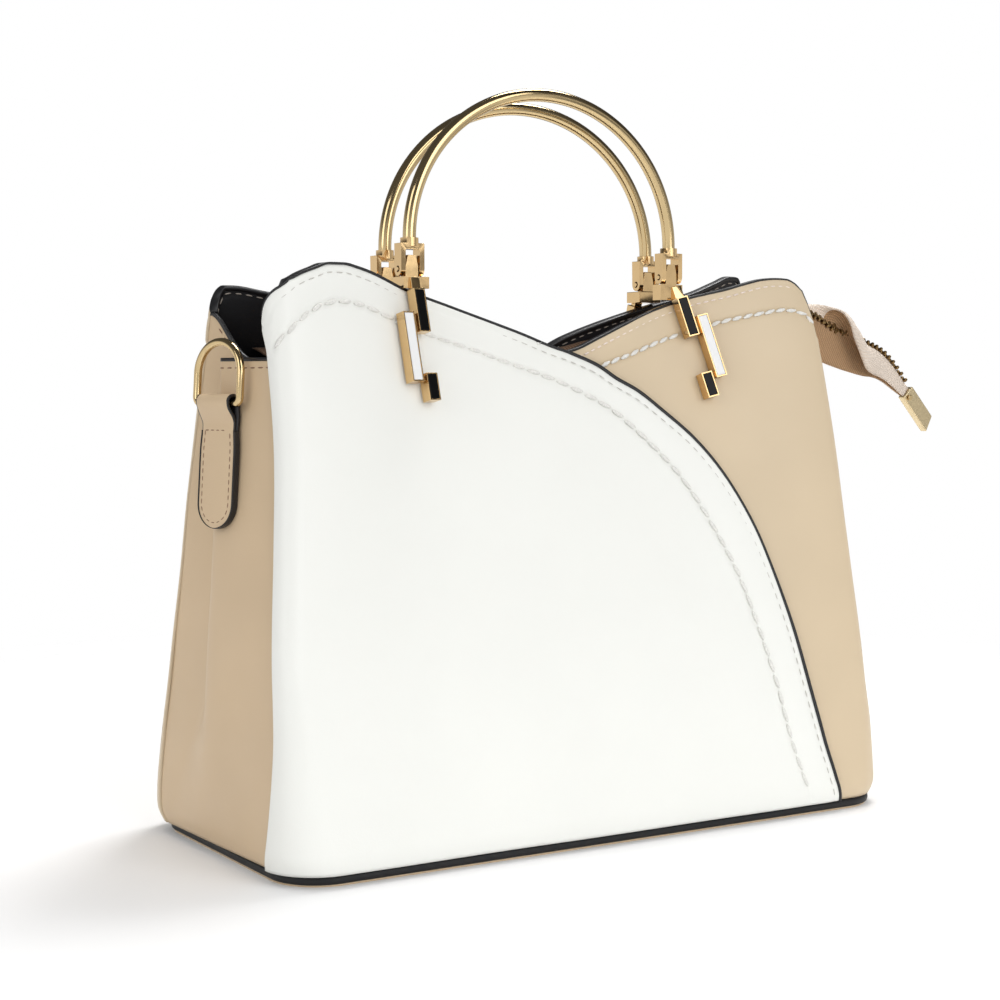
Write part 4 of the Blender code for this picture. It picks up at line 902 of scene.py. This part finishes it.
def hardware_gap(hand):
    """The middle of a front mount in x, where its neck covers the cord."""
    low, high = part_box("front_" + hand + "_mount")
    return mix(low.x, high.x, 0.34), mix(low.x, high.x, 0.66)


def make_stitches():
    overlay = inset_line(overlay_line(), EDGE_LINE)
    overlay = overlay[overlay[:, 1] > WALL_BOTTOM + 0.002]
    bare = beyond_overlay(inset_line(top_line(front_top, DIP, 2.0), EDGE_LINE))
    points, normals = on_panel(overlay_cord_line(), COVER - CORD_DEPTHS[0], -1)
    stitch_row("overlay_cord", points, normals, (0.0066, 0.0071, 0.00084), CORD_WHITE,
               slant=6.0, twist=9.0, lobes=0.10, gap=hardware_gap("left"))
    points, normals = on_panel(overlay, COVER, -1)
    stitch_row("overlay_edge_stitches", points, normals, (0.0032, 0.0048, 0.00024), THREAD_GREY)
    points, normals = on_panel(beyond_overlay(panel_cord_line()), -CORD_DEPTHS[1], -1)
    stitch_row("panel_cord", points, normals, (0.0056, 0.0054, 0.00080), CORD_WHITE,
               slant=9.0, twist=11.0, lobes=0.16, gap=hardware_gap("right"))
    back_line = top_line(back_top)
    for name, line, side, sizes, look, slant in (
            ("panel_edge_stitches", bare, -1, (0.0028, 0.0037, 0.00034), THREAD_PINK, 0.0),
            ("back_cord", inset_line(back_line, CORD_LINE), 1, (0.0052, 0.0054, 0.00075), CORD_WHITE, 7.0),
            ("back_edge_stitches", inset_line(back_line, EDGE_LINE), 1, (0.0026, 0.0036, 0.00026),
             THREAD_PINK, 7.0)):
        points, normals = on_panel(line, 0.0, side)
        stitch_row(name, points, normals, sizes, look, slant)
    for name, side, top in (("front_facing_stitches", -1, front_top), ("back_facing_stitches", 1, back_top)):
        points, normals = on_panel(inset_line(top_line(top, -1.9, 1.9), EDGE_LINE), -SHELL, side)
        stitch_row(name, points, -normals, (0.0030, 0.0044, 0.00026), THREAD_FACING)


# Gussets

GUSSET_COLUMNS = 61
GUSSET_PARTS = np.interp(np.linspace(0.0, 1.0, GUSSET_COLUMNS), (0.0, 0.2, 0.42, 0.66, 0.83, 1.0), range(6))


def gusset_profile(z, side):
    """A section of a gusset: wall, ridge, valley and wall, with the points between them."""
    share = min(z / GUSSET_HEIGHT, 1.0)
    front_wall = half_length(z) + corner_swell(side, z, -1)
    back_wall = half_length(z) + corner_swell(side, z, 1)
    seam = end_half_depth(z) - corner_radius(z) - SEAM_GAP
    if z < PLEAT_APEX_HEIGHT:
        valley_place = mix(VALLEY_LOW_PLACE, VALLEY_MIDDLE_PLACE, z / PLEAT_APEX_HEIGHT)
    else:
        climb = (z - PLEAT_APEX_HEIGHT) / (GUSSET_HEIGHT - PLEAT_APEX_HEIGHT)
        valley_place = mix(VALLEY_MIDDLE_PLACE, VALLEY_TOP_PLACE, min(climb, 1.0))
    ridge_wall = mix(front_wall, back_wall, (RIDGE_PLACE + seam) / (2.0 * seam))
    valley_wall = mix(front_wall, back_wall, (valley_place + seam) / (2.0 * seam))
    ridge = ridge_wall + RIDGE_STAND * ease(share / 0.35)
    valley = valley_wall - VALLEY_DEPTH * share ** 1.3
    outline = ((front_wall, -seam), (mix(front_wall, ridge, 0.5), mix(-seam, RIDGE_PLACE, 0.5)),
               (ridge, RIDGE_PLACE), (valley, valley_place),
               (mix(valley, back_wall, 0.5), mix(valley_place, seam, 0.5)), (back_wall, seam))
    return np.array([(lean(z) + side * across, depth) for across, depth in outline])


def gusset_row(z, side):
    """A section of a gusset with its folds rounded."""
    row = read_line(gusset_profile(z, side), np.arange(6), GUSSET_PARTS)
    return smooth_line(row, int(mix(14, 5, min(z / GUSSET_HEIGHT, 1.0))))


def make_gusset(name, side):
    shares = row_shares(58, 14, 0.05)
    rise = GUSSET_BACK_RISE * ease((GUSSET_PARTS - 3.0) / 2.0)
    points = np.zeros((len(shares), GUSSET_COLUMNS, 3))
    for row, share in enumerate(shares):
        heights = mix(WALL_BOTTOM, GUSSET_HEIGHT + rise, share)
        for column, z in enumerate(heights):
            if column == 0 or z != heights[column - 1]:
                section = gusset_row(float(z), side)
            points[row, column] = (section[column, 0], section[column, 1], z)
    leaf(name + "_skin", points, (side, 0.0, 0.0), [GUSSET_LEATHER, BLACK_LEATHER], [name],
         LEATHER, rim=1, inner=1)
    top = points[-1]
    normals = np.cross(np.gradient(top, axis=0), (0.0, 0.0, 1.0))
    normals /= np.linalg.norm(normals, axis=1)[:, None]
    normals *= np.sign(normals[5, 0] * side)
    band(name + "_edge", top, normals, edge_section(0.0, -LEATHER, 0.0010))
    falling = points[::-1]
    drop = np.linalg.norm(falling - falling[0], axis=2)
    inner = range(1, GUSSET_COLUMNS - 1)
    line = np.array([read_line(falling[:, column], drop[:, column], GUSSET_SEAM_DROP) for column in inner])
    stitch_row(name + "_stitches", line, normals[1:-1], (0.0028, 0.0042, 0.00028), THREAD_BROWN)


# Base and lining

def rounded_rectangle(half_x, half_y, radius, steps):
    points = []
    for turn, (sx, sy) in enumerate(((1, 1), (-1, 1), (-1, -1), (1, -1))):
        for step in range(steps + 1):
            angle = math.radians(90.0 * turn + 90.0 * step / steps)
            points.append((sx * (half_x - radius) + radius * math.cos(angle),
                           sy * (half_y - radius) + radius * math.sin(angle)))
    return np.array(points)


def make_slab(name, inset, low, high, edge, look):
    """A flat piece of the base with a rounded rim."""
    ring = rounded_rectangle(BASE_LENGTH / 2.0 - inset, BASE_DEPTH / 2.0 - inset, BASE_CORNER_RADIUS, 12)
    outward = rightwards(directions(ring, closed=True))
    count = len(ring)
    levels = 7
    points = []
    for step in range(levels):
        angle = math.pi * (step / (levels - 1.0) - 0.5)
        z = mix(low, high, (math.sin(angle) + 1.0) / 2.0)
        points += [(x, y, z) for x, y in ring - outward * edge * (1.0 - math.cos(angle))]
    faces = grid_faces(levels, count, closed=True)
    faces += [tuple(reversed(range(count))), tuple(range((levels - 1) * count, levels * count))]
    link(name + "_slab", new_mesh(name + "_slab", points, faces, sharp=50.0), "bag", [look], [name])


def make_lining():
    levels = 40
    rows = []
    for level in range(levels + 1):
        z = mix(BOARD_TOP + SEAT_GAP, LINING_TOP, level / levels)
        half_x = float(half_length(z)) - mix(*LINING_INSETS, float(ease(z / LINING_TOP)))
        half_y = float(waist_half_depth(z)) - LINING_INSETS[0]
        ring = rounded_rectangle(half_x, half_y, min(BASE_CORNER_RADIUS, half_y) * 0.75, 10)
        after = np.roll(ring, -1, axis=0)
        if level == 0:
            counts = np.maximum(1, (np.linalg.norm(after - ring, axis=1) / LINING_STEP).astype(int))
            corner = np.repeat(np.arange(len(ring)), counts)
            index = np.arange(len(corner))
            part = np.concatenate([np.arange(count) / count for count in counts])[:, None]
        row = np.column_stack([mix(ring[corner], after[corner], part), np.full(len(corner), z)])
        row[:, 0] += float(lean(z))
        fold = 0.0009 * np.sin(index * 0.55 + z * 25.0) + 0.0006 * np.sin(index * 0.23 - z * 60.0)
        row[:, 1] -= np.sign(row[:, 1]) * np.abs(fold)
        rows.append(row)
    count = len(index)
    faces = grid_faces(len(rows), count, closed=True)
    faces.append(tuple(reversed(range(count))))
    uvs = [(k * 0.004, row[0][2]) for row in rows for k in range(count)]
    mesh = new_mesh("lining_bag", np.concatenate(rows), faces, uvs)
    thing = link("lining_bag", mesh, "bag", [LINING_CLOTH], ["lining"])
    thicken(thing, LINING)


# Zip

def make_tape(where, side):
    xs = np.linspace(ZIP_START, ZIP_END, 90)
    rise = TAPE_RISES[side]
    edge_height = ZIP_HEIGHT + rise
    stations = np.linspace(-1.3, 1.3, 600)
    station = np.interp(xs, panel_points(stations, edge_height, 0.0, side)[:, 0], stations)
    limit = panel_half_depth(station, edge_height) - (SHELL + TAPE_CLEARANCE)
    bulge = TAPE_BULGE * np.exp(-((xs - TAPE_BULGE_PLACE) / TAPE_BULGE_WIDTH) ** 2) if side > 0 else 0.0
    rows = []
    for share in np.linspace(0.0, 1.0, 12):
        across = mix(TAPE_SLOT / 2.0, limit, share)
        lift = (rise + bulge) * ease((across - TAPE_FLAT) / (limit - TAPE_FLAT))
        waves = TAPE_WAVES * np.sin(xs * 70.0) * share
        rows.append(np.stack([xs, side * across, ZIP_HEIGHT + (lift + waves)], axis=1))
    points = np.array(rows)
    name = "zip_tape_" + where
    # The tape is drawn in the dark brown of painted shade
    thing = leaf(name + "_weave", points, (0.0, 0.0, 1.0), [TAPE_PAINTED_SHADE], [name], TAPE_THICKNESS,
                 uvs=points[..., :2].reshape(-1, 2))


def tooth(length, width, height):
    """One tooth with its edges cut back."""
    bm = bmesh.new()
    bmesh.ops.create_cube(bm, size=1.0)
    bmesh.ops.bevel(bm, geom=bm.edges[:], offset=0.16, segments=2, affect="EDGES", profile=0.5)
    points = np.array([v.co for v in bm.verts]) * (length, width, height)
    faces = [tuple(v.index for v in f.verts) for f in bm.faces]
    bm.free()
    return points, faces


def make_teeth():
    shape, faces = tooth(0.0012, 0.0022, 0.0020)
    first = ZIP_START + TEETH_INSET
    shapes = []
    for index in range(int((ZIP_END - TEETH_MARGIN - first) / TOOTH_PITCH)):
        for side in (-1, 1):
            x = first + TOOTH_PITCH * index + (TOOTH_PITCH / 2.0 if side > 0 else 0.0) + TEETH_SHIFT
            shapes.append((shape + (x, side * TOOTH_OFFSET, ZIP_HEIGHT - TOOTH_DROP), faces))
    mesh = new_mesh("zip_teeth_chain", *merge(shapes), sharp=40.0)
    thing = link("zip_teeth_chain", mesh, "bag", [TEETH_BRASS], ["zip_teeth"])
    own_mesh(thing)


# Free tail of the zip

def tail_point(share):
    x = ZIP_END + SEAT_GAP + TAIL_REACH * share
    return np.array((x, 0.0, ZIP_HEIGHT + TAIL_LIFT + TAIL_REACH * read_one(TAIL_RISE, share)))


def tail_way(share):
    step = 0.03
    along = tail_point(min(share + step, 1.0)) - tail_point(max(share - step, 0.0))
    return along / np.linalg.norm(along)


def tail_half(share, table, curl_share, steps):
    """Points across one half of the tail, from its teeth to its edge."""
    up = np.cross(FRONT, tail_way(share))
    start = math.radians(read_one(table, share))
    curl = math.radians(read_one(TAIL_CURL, share)) * curl_share
    step = TAIL_WIDTH / 2.0 * read_one(TAIL_WIDTHS, share) / steps
    line = [tail_point(share)]
    for index in range(steps):
        bend = start + curl * ((index + 0.5) / steps - 0.5)
        line.append(line[-1] + (up * math.cos(bend) + FRONT * math.sin(bend)) * step)
    return line


def make_tail():
    steps = 90
    halves = 9
    shares = [step / steps for step in range(steps + 1)]
    rows = []
    for share in shares:
        low = tail_half(share, TAIL_LOW, 0.0, halves)
        high = tail_half(share, TAIL_HIGH, 1.0, halves)
        rows.append(smooth_line(np.array(low[:0:-1] + high), 2))
    points = np.array(rows)
    across = np.linspace(-TAIL_WIDTH / 2.0, TAIL_WIDTH / 2.0, points.shape[1])
    length = TAIL_REACH * TAIL_SLACK
    looks = [TAPE_LIGHT, TAIL_INSIDE_SHADE, TAPE_LIGHT, TAPE_LIGHT]
    thing = leaf("zip_tail_weave", points, (0.0, 1.0, 0.0), looks, ["zip_tail"],
                 TAIL_THICKNESS, inner=1, offset=0.0,
                 uvs=[(share * length, a) for share in shares for a in across])
    # The inner faces carry painted shade, except on the high half of the tail's width along the half nearest
    # the bag, where both faces keep the tape's light colour
    columns = points.shape[1] - 1
    for index, face in enumerate(thing.data.polygons):
        if index // columns < TAIL_LIGHT_SHARE * steps and index % columns >= columns // 2:
            face.material_index = 2


def make_tail_teeth():
    shape, faces = tooth(0.0012, 0.0030, 0.0018)
    shapes = []
    for index in range(TAIL_PAIRS):
        share = (index + 0.5) / (TAIL_PAIRS + 1.0)
        along = tail_way(share)
        low = tail_half(share, TAIL_LOW, 0.0, 3)
        high = tail_half(share, TAIL_HIGH, 1.0, 3)
        inner = low[1] + high[1] - 2.0 * low[0]
        size = np.linalg.norm(inner)
        out = -inner / size if size > 0.001 else np.array((0.0, 0.0, 1.0))
        across = np.cross(along, out)
        for side in (-1, 1):
            step = TOOTH_PITCH / 2.0 * (side > 0)
            centre = tail_point(share) + along * step + across * side * TOOTH_OFFSET
            shapes.append((shape @ np.stack([along, across, out]) + centre, faces))
    link("tail_teeth", new_mesh("tail_teeth", *merge(shapes), sharp=40.0), "bag", [TEETH_BRASS])


# Handles and hardware

def hinge_frame(name):
    joint = [j for j in frame["joints"] if j["name"] == name][0]
    axis = Vector(joint["axis"]).normalized()
    depth = Vector((0.0, 1.0, 0.0))
    turned = Matrix((axis, depth, axis.cross(depth))).transposed().to_4x4()
    turned.translation = Vector(joint["pos_m"])
    return turned


def make_handle(where):
    half = HANDLE_SPACINGS[where] / 2.0
    foot = ROD_RIM - ROD_FOOT
    leg = [(half, foot), (half, mix(foot, ROD_RIM, 0.5))]
    arch = [(half * math.cos(angle), ROD_RIM + HANDLE_RISE * math.sin(angle))
            for angle in (math.pi * (1.0 - step / 96) for step in range(97))]
    place = hinge_frame(where + "_handle_hinge")
    path = [place @ Vector((x, 0.0, z)) for x, z in [(-x, z) for x, z in leg] + arch + leg[::-1]]
    body = where + "_handle"
    mesh = tube_mesh(body + "_tube", path, ROD_RADIUS, 28)
    link(body + "_tube", mesh, body, [GOLD], [body + "_rod"])
    for hand in ("left", "right"):
        spot = where + "_" + hand
        clean_copy(spot + "_yoke", 0.00035, WARM_GOLD, body)
        clean_copy(spot + "_pin", 0.00025, WARM_GOLD, body)
        clean_copy(spot + "_mount", 0.00030, WARM_GOLD)
        clean_copy(spot + "_screw", 0.00030, GOLD)


def make_small_metal():
    for hand in ("left", "right"):
        for bar, look, slot in (("first", BLACK_ENAMEL, "black_enamel"),
                                ("second", WHITE_ENAMEL, "white_enamel"),
                                ("third", BLACK_ENAMEL, "black_enamel")):
            clean_copy(f"front_{hand}_{bar}_enamel", 0.00025, look, segments=3)
    clean_copy("zip_slider", 0.00025, GOLD, "zip_slider")
    clean_copy("zip_pull", 0.00025, GOLD, "zip_pull")
    clean_copy("zip_end_cap", 0.00050, BRUSHED_GOLD, segments=3)
    clean_copy("zip_end_rivet", 0.00030, GOLD, segments=3)


# Side tabs and rings

EYE_RADIUS = RING_WIRE_RADIUS + RING_CLEARANCE + TAB_LAYER
TAB_FACE = 2.0 * TAB_LAYER - EYE_RADIUS
TAB_END = TAB_WIDTH / 2.0 - TAB_LENGTH
TAB_SEAM_TOP = -3.0 * EYE_RADIUS
TAB_SEAM_INSET = 0.0021


def tab_frame(side):
    """Where a tab's eye is: X across the strap, Y up it, Z away from the gusset."""
    points = []
    for z in (TAB_EYE_HEIGHT - TAB_LENGTH, TAB_EYE_HEIGHT):
        profile = gusset_profile(z, side)
        seam, ridge = profile[0] + (0.0, 0.0004), profile[2]
        share = (TAB_PLACE - seam[1]) / (ridge[1] - seam[1])
        points.append(Vector((mix(seam[0], ridge[0], share), TAB_PLACE, z)))
        course = Vector((ridge[0] - seam[0], ridge[1] - seam[1], 0.0)).normalized() * side
    out = course.cross((points[1] - points[0]).normalized()).normalized()
    place = Matrix((course, out.cross(course), out)).transposed().to_4x4()
    place.translation = points[1] + out * (TAB_STAND + EYE_RADIUS)
    return place


def tab_half_width(y):
    """Half the strap's width at a height: a slight neck and a round lower end."""
    half = TAB_WIDTH / 2.0
    width = half - (half - TAB_NECK_WIDTH / 2.0) * math.exp(-((y + TAB_NECK_PLACE) / 0.005) ** 2)
    depth = y + TAB_LENGTH
    if depth < half:
        width = min(width, math.sqrt(max(half ** 2 - (half - depth) ** 2, 0.0)))
    width -= TAB_EYE_TAPER * float(ease((y + 0.006) / 0.004))
    return max(width, 0.0004)


def tab_side_line():
    """The strap's outer face from its lower end up and over the ring's bar, as (height, depth) pairs."""
    line = []
    bend = -2.4 * EYE_RADIUS
    for share in np.linspace(0.0, 1.0, 46):
        line.append((mix(-TAB_LENGTH, bend, share ** 1.5), TAB_FACE))
    for share in np.linspace(0.0, 1.0, 13)[1:]:
        line.append((mix(bend, 0.0, share), mix(TAB_FACE, EYE_RADIUS, float(ease(share)))))
    for step in range(1, 13):
        angle = math.radians(90.0 - 180.0 * step / 12)
        line.append((EYE_RADIUS * math.cos(angle), EYE_RADIUS * math.sin(angle)))
    return line


def placed(place, spots):
    return np.array([tuple(place @ Vector(spot)) for spot in spots])


def make_tab(side, hand):
    """A folded strap: a soft face with a painted edge all round and stitches inside it."""
    name = hand + "_tab"
    place = tab_frame(side)
    outward = np.array(place.to_3x3().col[2])
    columns = 21
    line = tab_side_line()
    spots = []
    for y, z in line:
        for share in np.linspace(-1.0, 1.0, columns):
            bent = math.copysign(1.0 - (1.0 - abs(share)) ** 1.25, share)
            sag = 0.00035 * abs(bent) ** 6 if y <= 0.0 else 0.0
            spots.append((bent * tab_half_width(y), y, z - sag))
    points = placed(place, spots).reshape(len(line), columns, 3)
    thing = leaf(name + "_face", points, outward, [GUSSET_LEATHER, EDGE_PAINT], [name],
                 TAB_LAYER - TAB_EASE, rim=1, inner=1)
    for index, face in enumerate(thing.data.polygons):
        if index % (columns - 1) in (0, columns - 2):
            face.material_index = 1
    heights = np.linspace(-TAB_LENGTH, 0.0, 46)
    spots = [(mix(-tab_half_width(y), tab_half_width(y), column / 6), y, TAB_LAYER - EYE_RADIUS)
             for y in heights for column in range(7)]
    leaf(name + "_rear", placed(place, spots).reshape(46, 7, 3), outward, [EDGE_PAINT], (),
         TAB_LAYER)
    sides = np.linspace(TAB_SEAM_TOP, TAB_END, 30)
    half = TAB_WIDTH / 2.0
    turns = [math.radians(180.0 + 180.0 * step / 24) for step in range(1, 24)]
    outline = np.array([(-tab_half_width(y), y) for y in sides]
                       + [(half * math.cos(turn), TAB_END + half * math.sin(turn)) for turn in turns]
                       + [(tab_half_width(y), y) for y in sides[::-1]])
    across = rightwards(np.gradient(outline, axis=0))
    across *= np.sign((across * (outline - outline.mean(0))).sum(1))[:, None]
    turn = np.array(place.to_3x3())
    normals = np.array([turn @ np.array((x, y, 0.0)) for x, y in across])
    section = [((TAB_LAYER + 0.00012) * math.sin(a), 0.00035 * math.cos(a) - 0.00005)
               for a in np.linspace(0.0, 2.0 * math.pi, 13)[:-1]]
    middle = (TAB_FACE - EYE_RADIUS) / 2.0
    band(name + "_edge", placed(place, [(x, y, middle) for x, y in outline]), normals, section)
    seam = []
    for x, y in outline:
        base = max(y, TAB_END)
        shrink = 1.0 - TAB_SEAM_INSET / math.hypot(x, y - base)
        seam.append((x * shrink, base + (y - base) * shrink, TAB_FACE - STITCH_DEPTH))
    reach = tab_half_width(TAB_SEAM_TOP) - TAB_SEAM_INSET
    bar = [(x, TAB_SEAM_TOP, TAB_FACE - STITCH_DEPTH) for x in np.linspace(-reach, reach, 12)]
    for part, spots, radius in (("_stitches", seam, 0.00022), ("_bar_stitches", bar, 0.00024)):
        stitch_row(name + part, placed(place, spots), np.tile(outward, (len(spots), 1)),
                   (0.0021, 0.0029, radius), THREAD_BROWN)


def make_ring(side, hand):
    place = tab_frame(side) @ Matrix.Rotation(math.radians(RING_SWINGS[side]), 4, "X")
    half = RING_WIDTH / 2.0 - RING_WIRE_RADIUS
    height = RING_HEIGHT - 2.0 * RING_WIRE_RADIUS
    corner = RING_CORNER_RADIUS
    path = []
    for x, y, radius, start, stop, steps in ((corner - half, corner, corner, 180.0, 270.0, 8),
                                             (half - corner, corner, corner, 270.0, 360.0, 8),
                                             (0.0, height - half, half, 0.0, 180.0, 40)):
        for step in range(steps + 1):
            angle = math.radians(mix(start, stop, step / steps))
            path.append((x + radius * math.cos(angle), y + radius * math.sin(angle), 0.0))
    mesh = tube_mesh(hand + "_ring_wire", placed(place, path), RING_WIRE_RADIUS, 20, closed=True)
    link(hand + "_ring_wire", mesh, hand + "_ring", [GOLD], [hand + "_ring"])


# Floor, light and camera

def make_floor():
    mesh = new_mesh("floor", [(-3, -3, 0), (3, -3, 0), (3, 3, 0), (-3, 3, 0)], [(0, 1, 2, 3)])
    floor = bpy.data.objects.new("floor", mesh)
    bpy.context.scene.collection.objects.link(floor)
    look, tree, shader = shader_of("floor_white")
    whiter = node(tree, "ShaderNodeMath", operation="MULTIPLY")
    whiter.inputs[1].default_value = FLOOR_WHITENING
    tree.links.new(node(tree, "ShaderNodeLightPath").outputs["Is Camera Ray"], whiter.inputs[0])
    reach = node(tree, "ShaderNodeVectorMath", operation="LENGTH")
    tree.links.new(coordinates(tree), reach.inputs[0])
    mesh.materials.append(finish_look(look, tree, shader, {
        "Emission Strength": whiter.outputs[0],
        "Alpha": ramp(tree, reach.outputs["Value"], ((0.38, 1.0), (0.62, 0.0)))},
        Base_Color=(0.93, 0.93, 0.93, 1.0), Roughness=0.6, Specular_IOR_Level=0.2,
        Emission_Color=(1.0, 1.0, 1.0, 1.0)))


def make_lamp(name, place, target, size, power):
    lamp = bpy.data.lights.new(name, "AREA")
    lamp.shape = "SQUARE"
    lamp.size = size
    lamp.energy = power
    thing = bpy.data.objects.new(name, lamp)
    bpy.context.scene.collection.objects.link(thing)
    thing.location = place
    thing.rotation_euler = (Vector(target) - Vector(place)).to_track_quat("-Z", "Y").to_euler()


def make_world():
    """A soft sky for the light, a darker studio for what the metal mirrors, and white for the camera."""
    world = bpy.data.worlds.new("studio")
    bpy.context.scene.world = world
    world.use_nodes = True
    tree = world.node_tree
    parts = node(tree, "ShaderNodeSeparateXYZ")
    tree.links.new(coordinates(tree, "Generated"), parts.inputs["Vector"])
    up = parts.outputs["Z"]
    sky = ramp(tree, up, ((0.0, 0.62), (0.5, 0.75), (1.0, 1.0)))
    studio = ramp(tree, up, ((0.0, 0.80), (0.12, 0.55), (0.35, 0.10), (1.0, 0.06)))
    flags = ramp(tree, parts.outputs["X"], ((0.0, 1.0), (0.22, 0.9), (0.34, 0.22), (0.5, 0.30), (0.6, 1.0),
                                            (0.8, 0.45), (1.0, 0.9)))
    background = tree.nodes["Background"]
    background.inputs["Strength"].default_value = 0.75
    tree.links.new(sky, background.inputs["Color"])
    mirrored = node(tree, "ShaderNodeBackground", Strength=1.25)
    tree.links.new(times(tree, studio, flags), mirrored.inputs["Color"])
    white = node(tree, "ShaderNodeBackground", Color=(1.0, 1.0, 1.0, 1.0), Strength=1.0)
    path = node(tree, "ShaderNodeLightPath")
    shown = background.outputs["Background"]
    for ray, seen in (("Is Glossy Ray", mirrored), ("Is Camera Ray", white)):
        chosen = node(tree, "ShaderNodeMixShader")
        tree.links.new(path.outputs[ray], chosen.inputs["Fac"])
        tree.links.new(shown, chosen.inputs[1])
        tree.links.new(seen.outputs["Background"], chosen.inputs[2])
        shown = chosen.outputs["Shader"]
    tree.links.new(shown, tree.nodes["World Output"].inputs["Surface"])


def make_camera():
    lens = bpy.data.cameras.new("camera")
    lens.sensor_width = 36.0
    lens.lens = 69.73
    camera = bpy.data.objects.new("camera", lens)
    bpy.context.scene.collection.objects.link(camera)
    camera.location = (-0.4375, -0.6826, 0.183)
    camera.rotation_euler = (math.radians(86.45), 0.0, math.radians(-31.75))
    scene = bpy.context.scene
    scene.camera = camera
    scene.render.resolution_x = 1000
    scene.render.resolution_y = 1000
    scene.view_settings.view_transform = "Standard"


make_panel("front", -1, front_top)
make_panel("back", 1, back_top)
make_overlay()
make_facing("front", -1, front_top)
make_facing("back", 1, back_top)
make_edges()
make_stitches()
make_gusset("left_gusset", -1)
make_gusset("right_gusset", 1)
make_slab("base_leather", BASE_LEATHER_INSET, 0.0, BASE_LEATHER, 0.0003, GUSSET_LEATHER)
make_slab("base_board", BOARD_INSET, BASE_LEATHER, BOARD_TOP, 0.0009, BOARD_BLACK)
make_lining()
make_tape("front", -1)
make_tape("back", 1)
make_teeth()
make_tail()
make_tail_teeth()
make_handle("front")
make_handle("back")
make_small_metal()
for hand_name, hand_side in (("left", -1), ("right", 1)):
    make_tab(hand_side, hand_name)
    make_ring(hand_side, hand_name)
make_floor()
make_lamp("key", (0.58, 0.34, 1.42), (0.0, 0.0, 0.08), 0.55, 12.5)
make_lamp("front", (0.35, -1.75, 0.95), (0.0, 0.0, 0.12), 1.30, 13.2)
make_lamp("side", (-1.6, -0.5, 0.8), (0.0, 0.0, 0.12), 0.9, 5.0)
make_world()
make_camera()
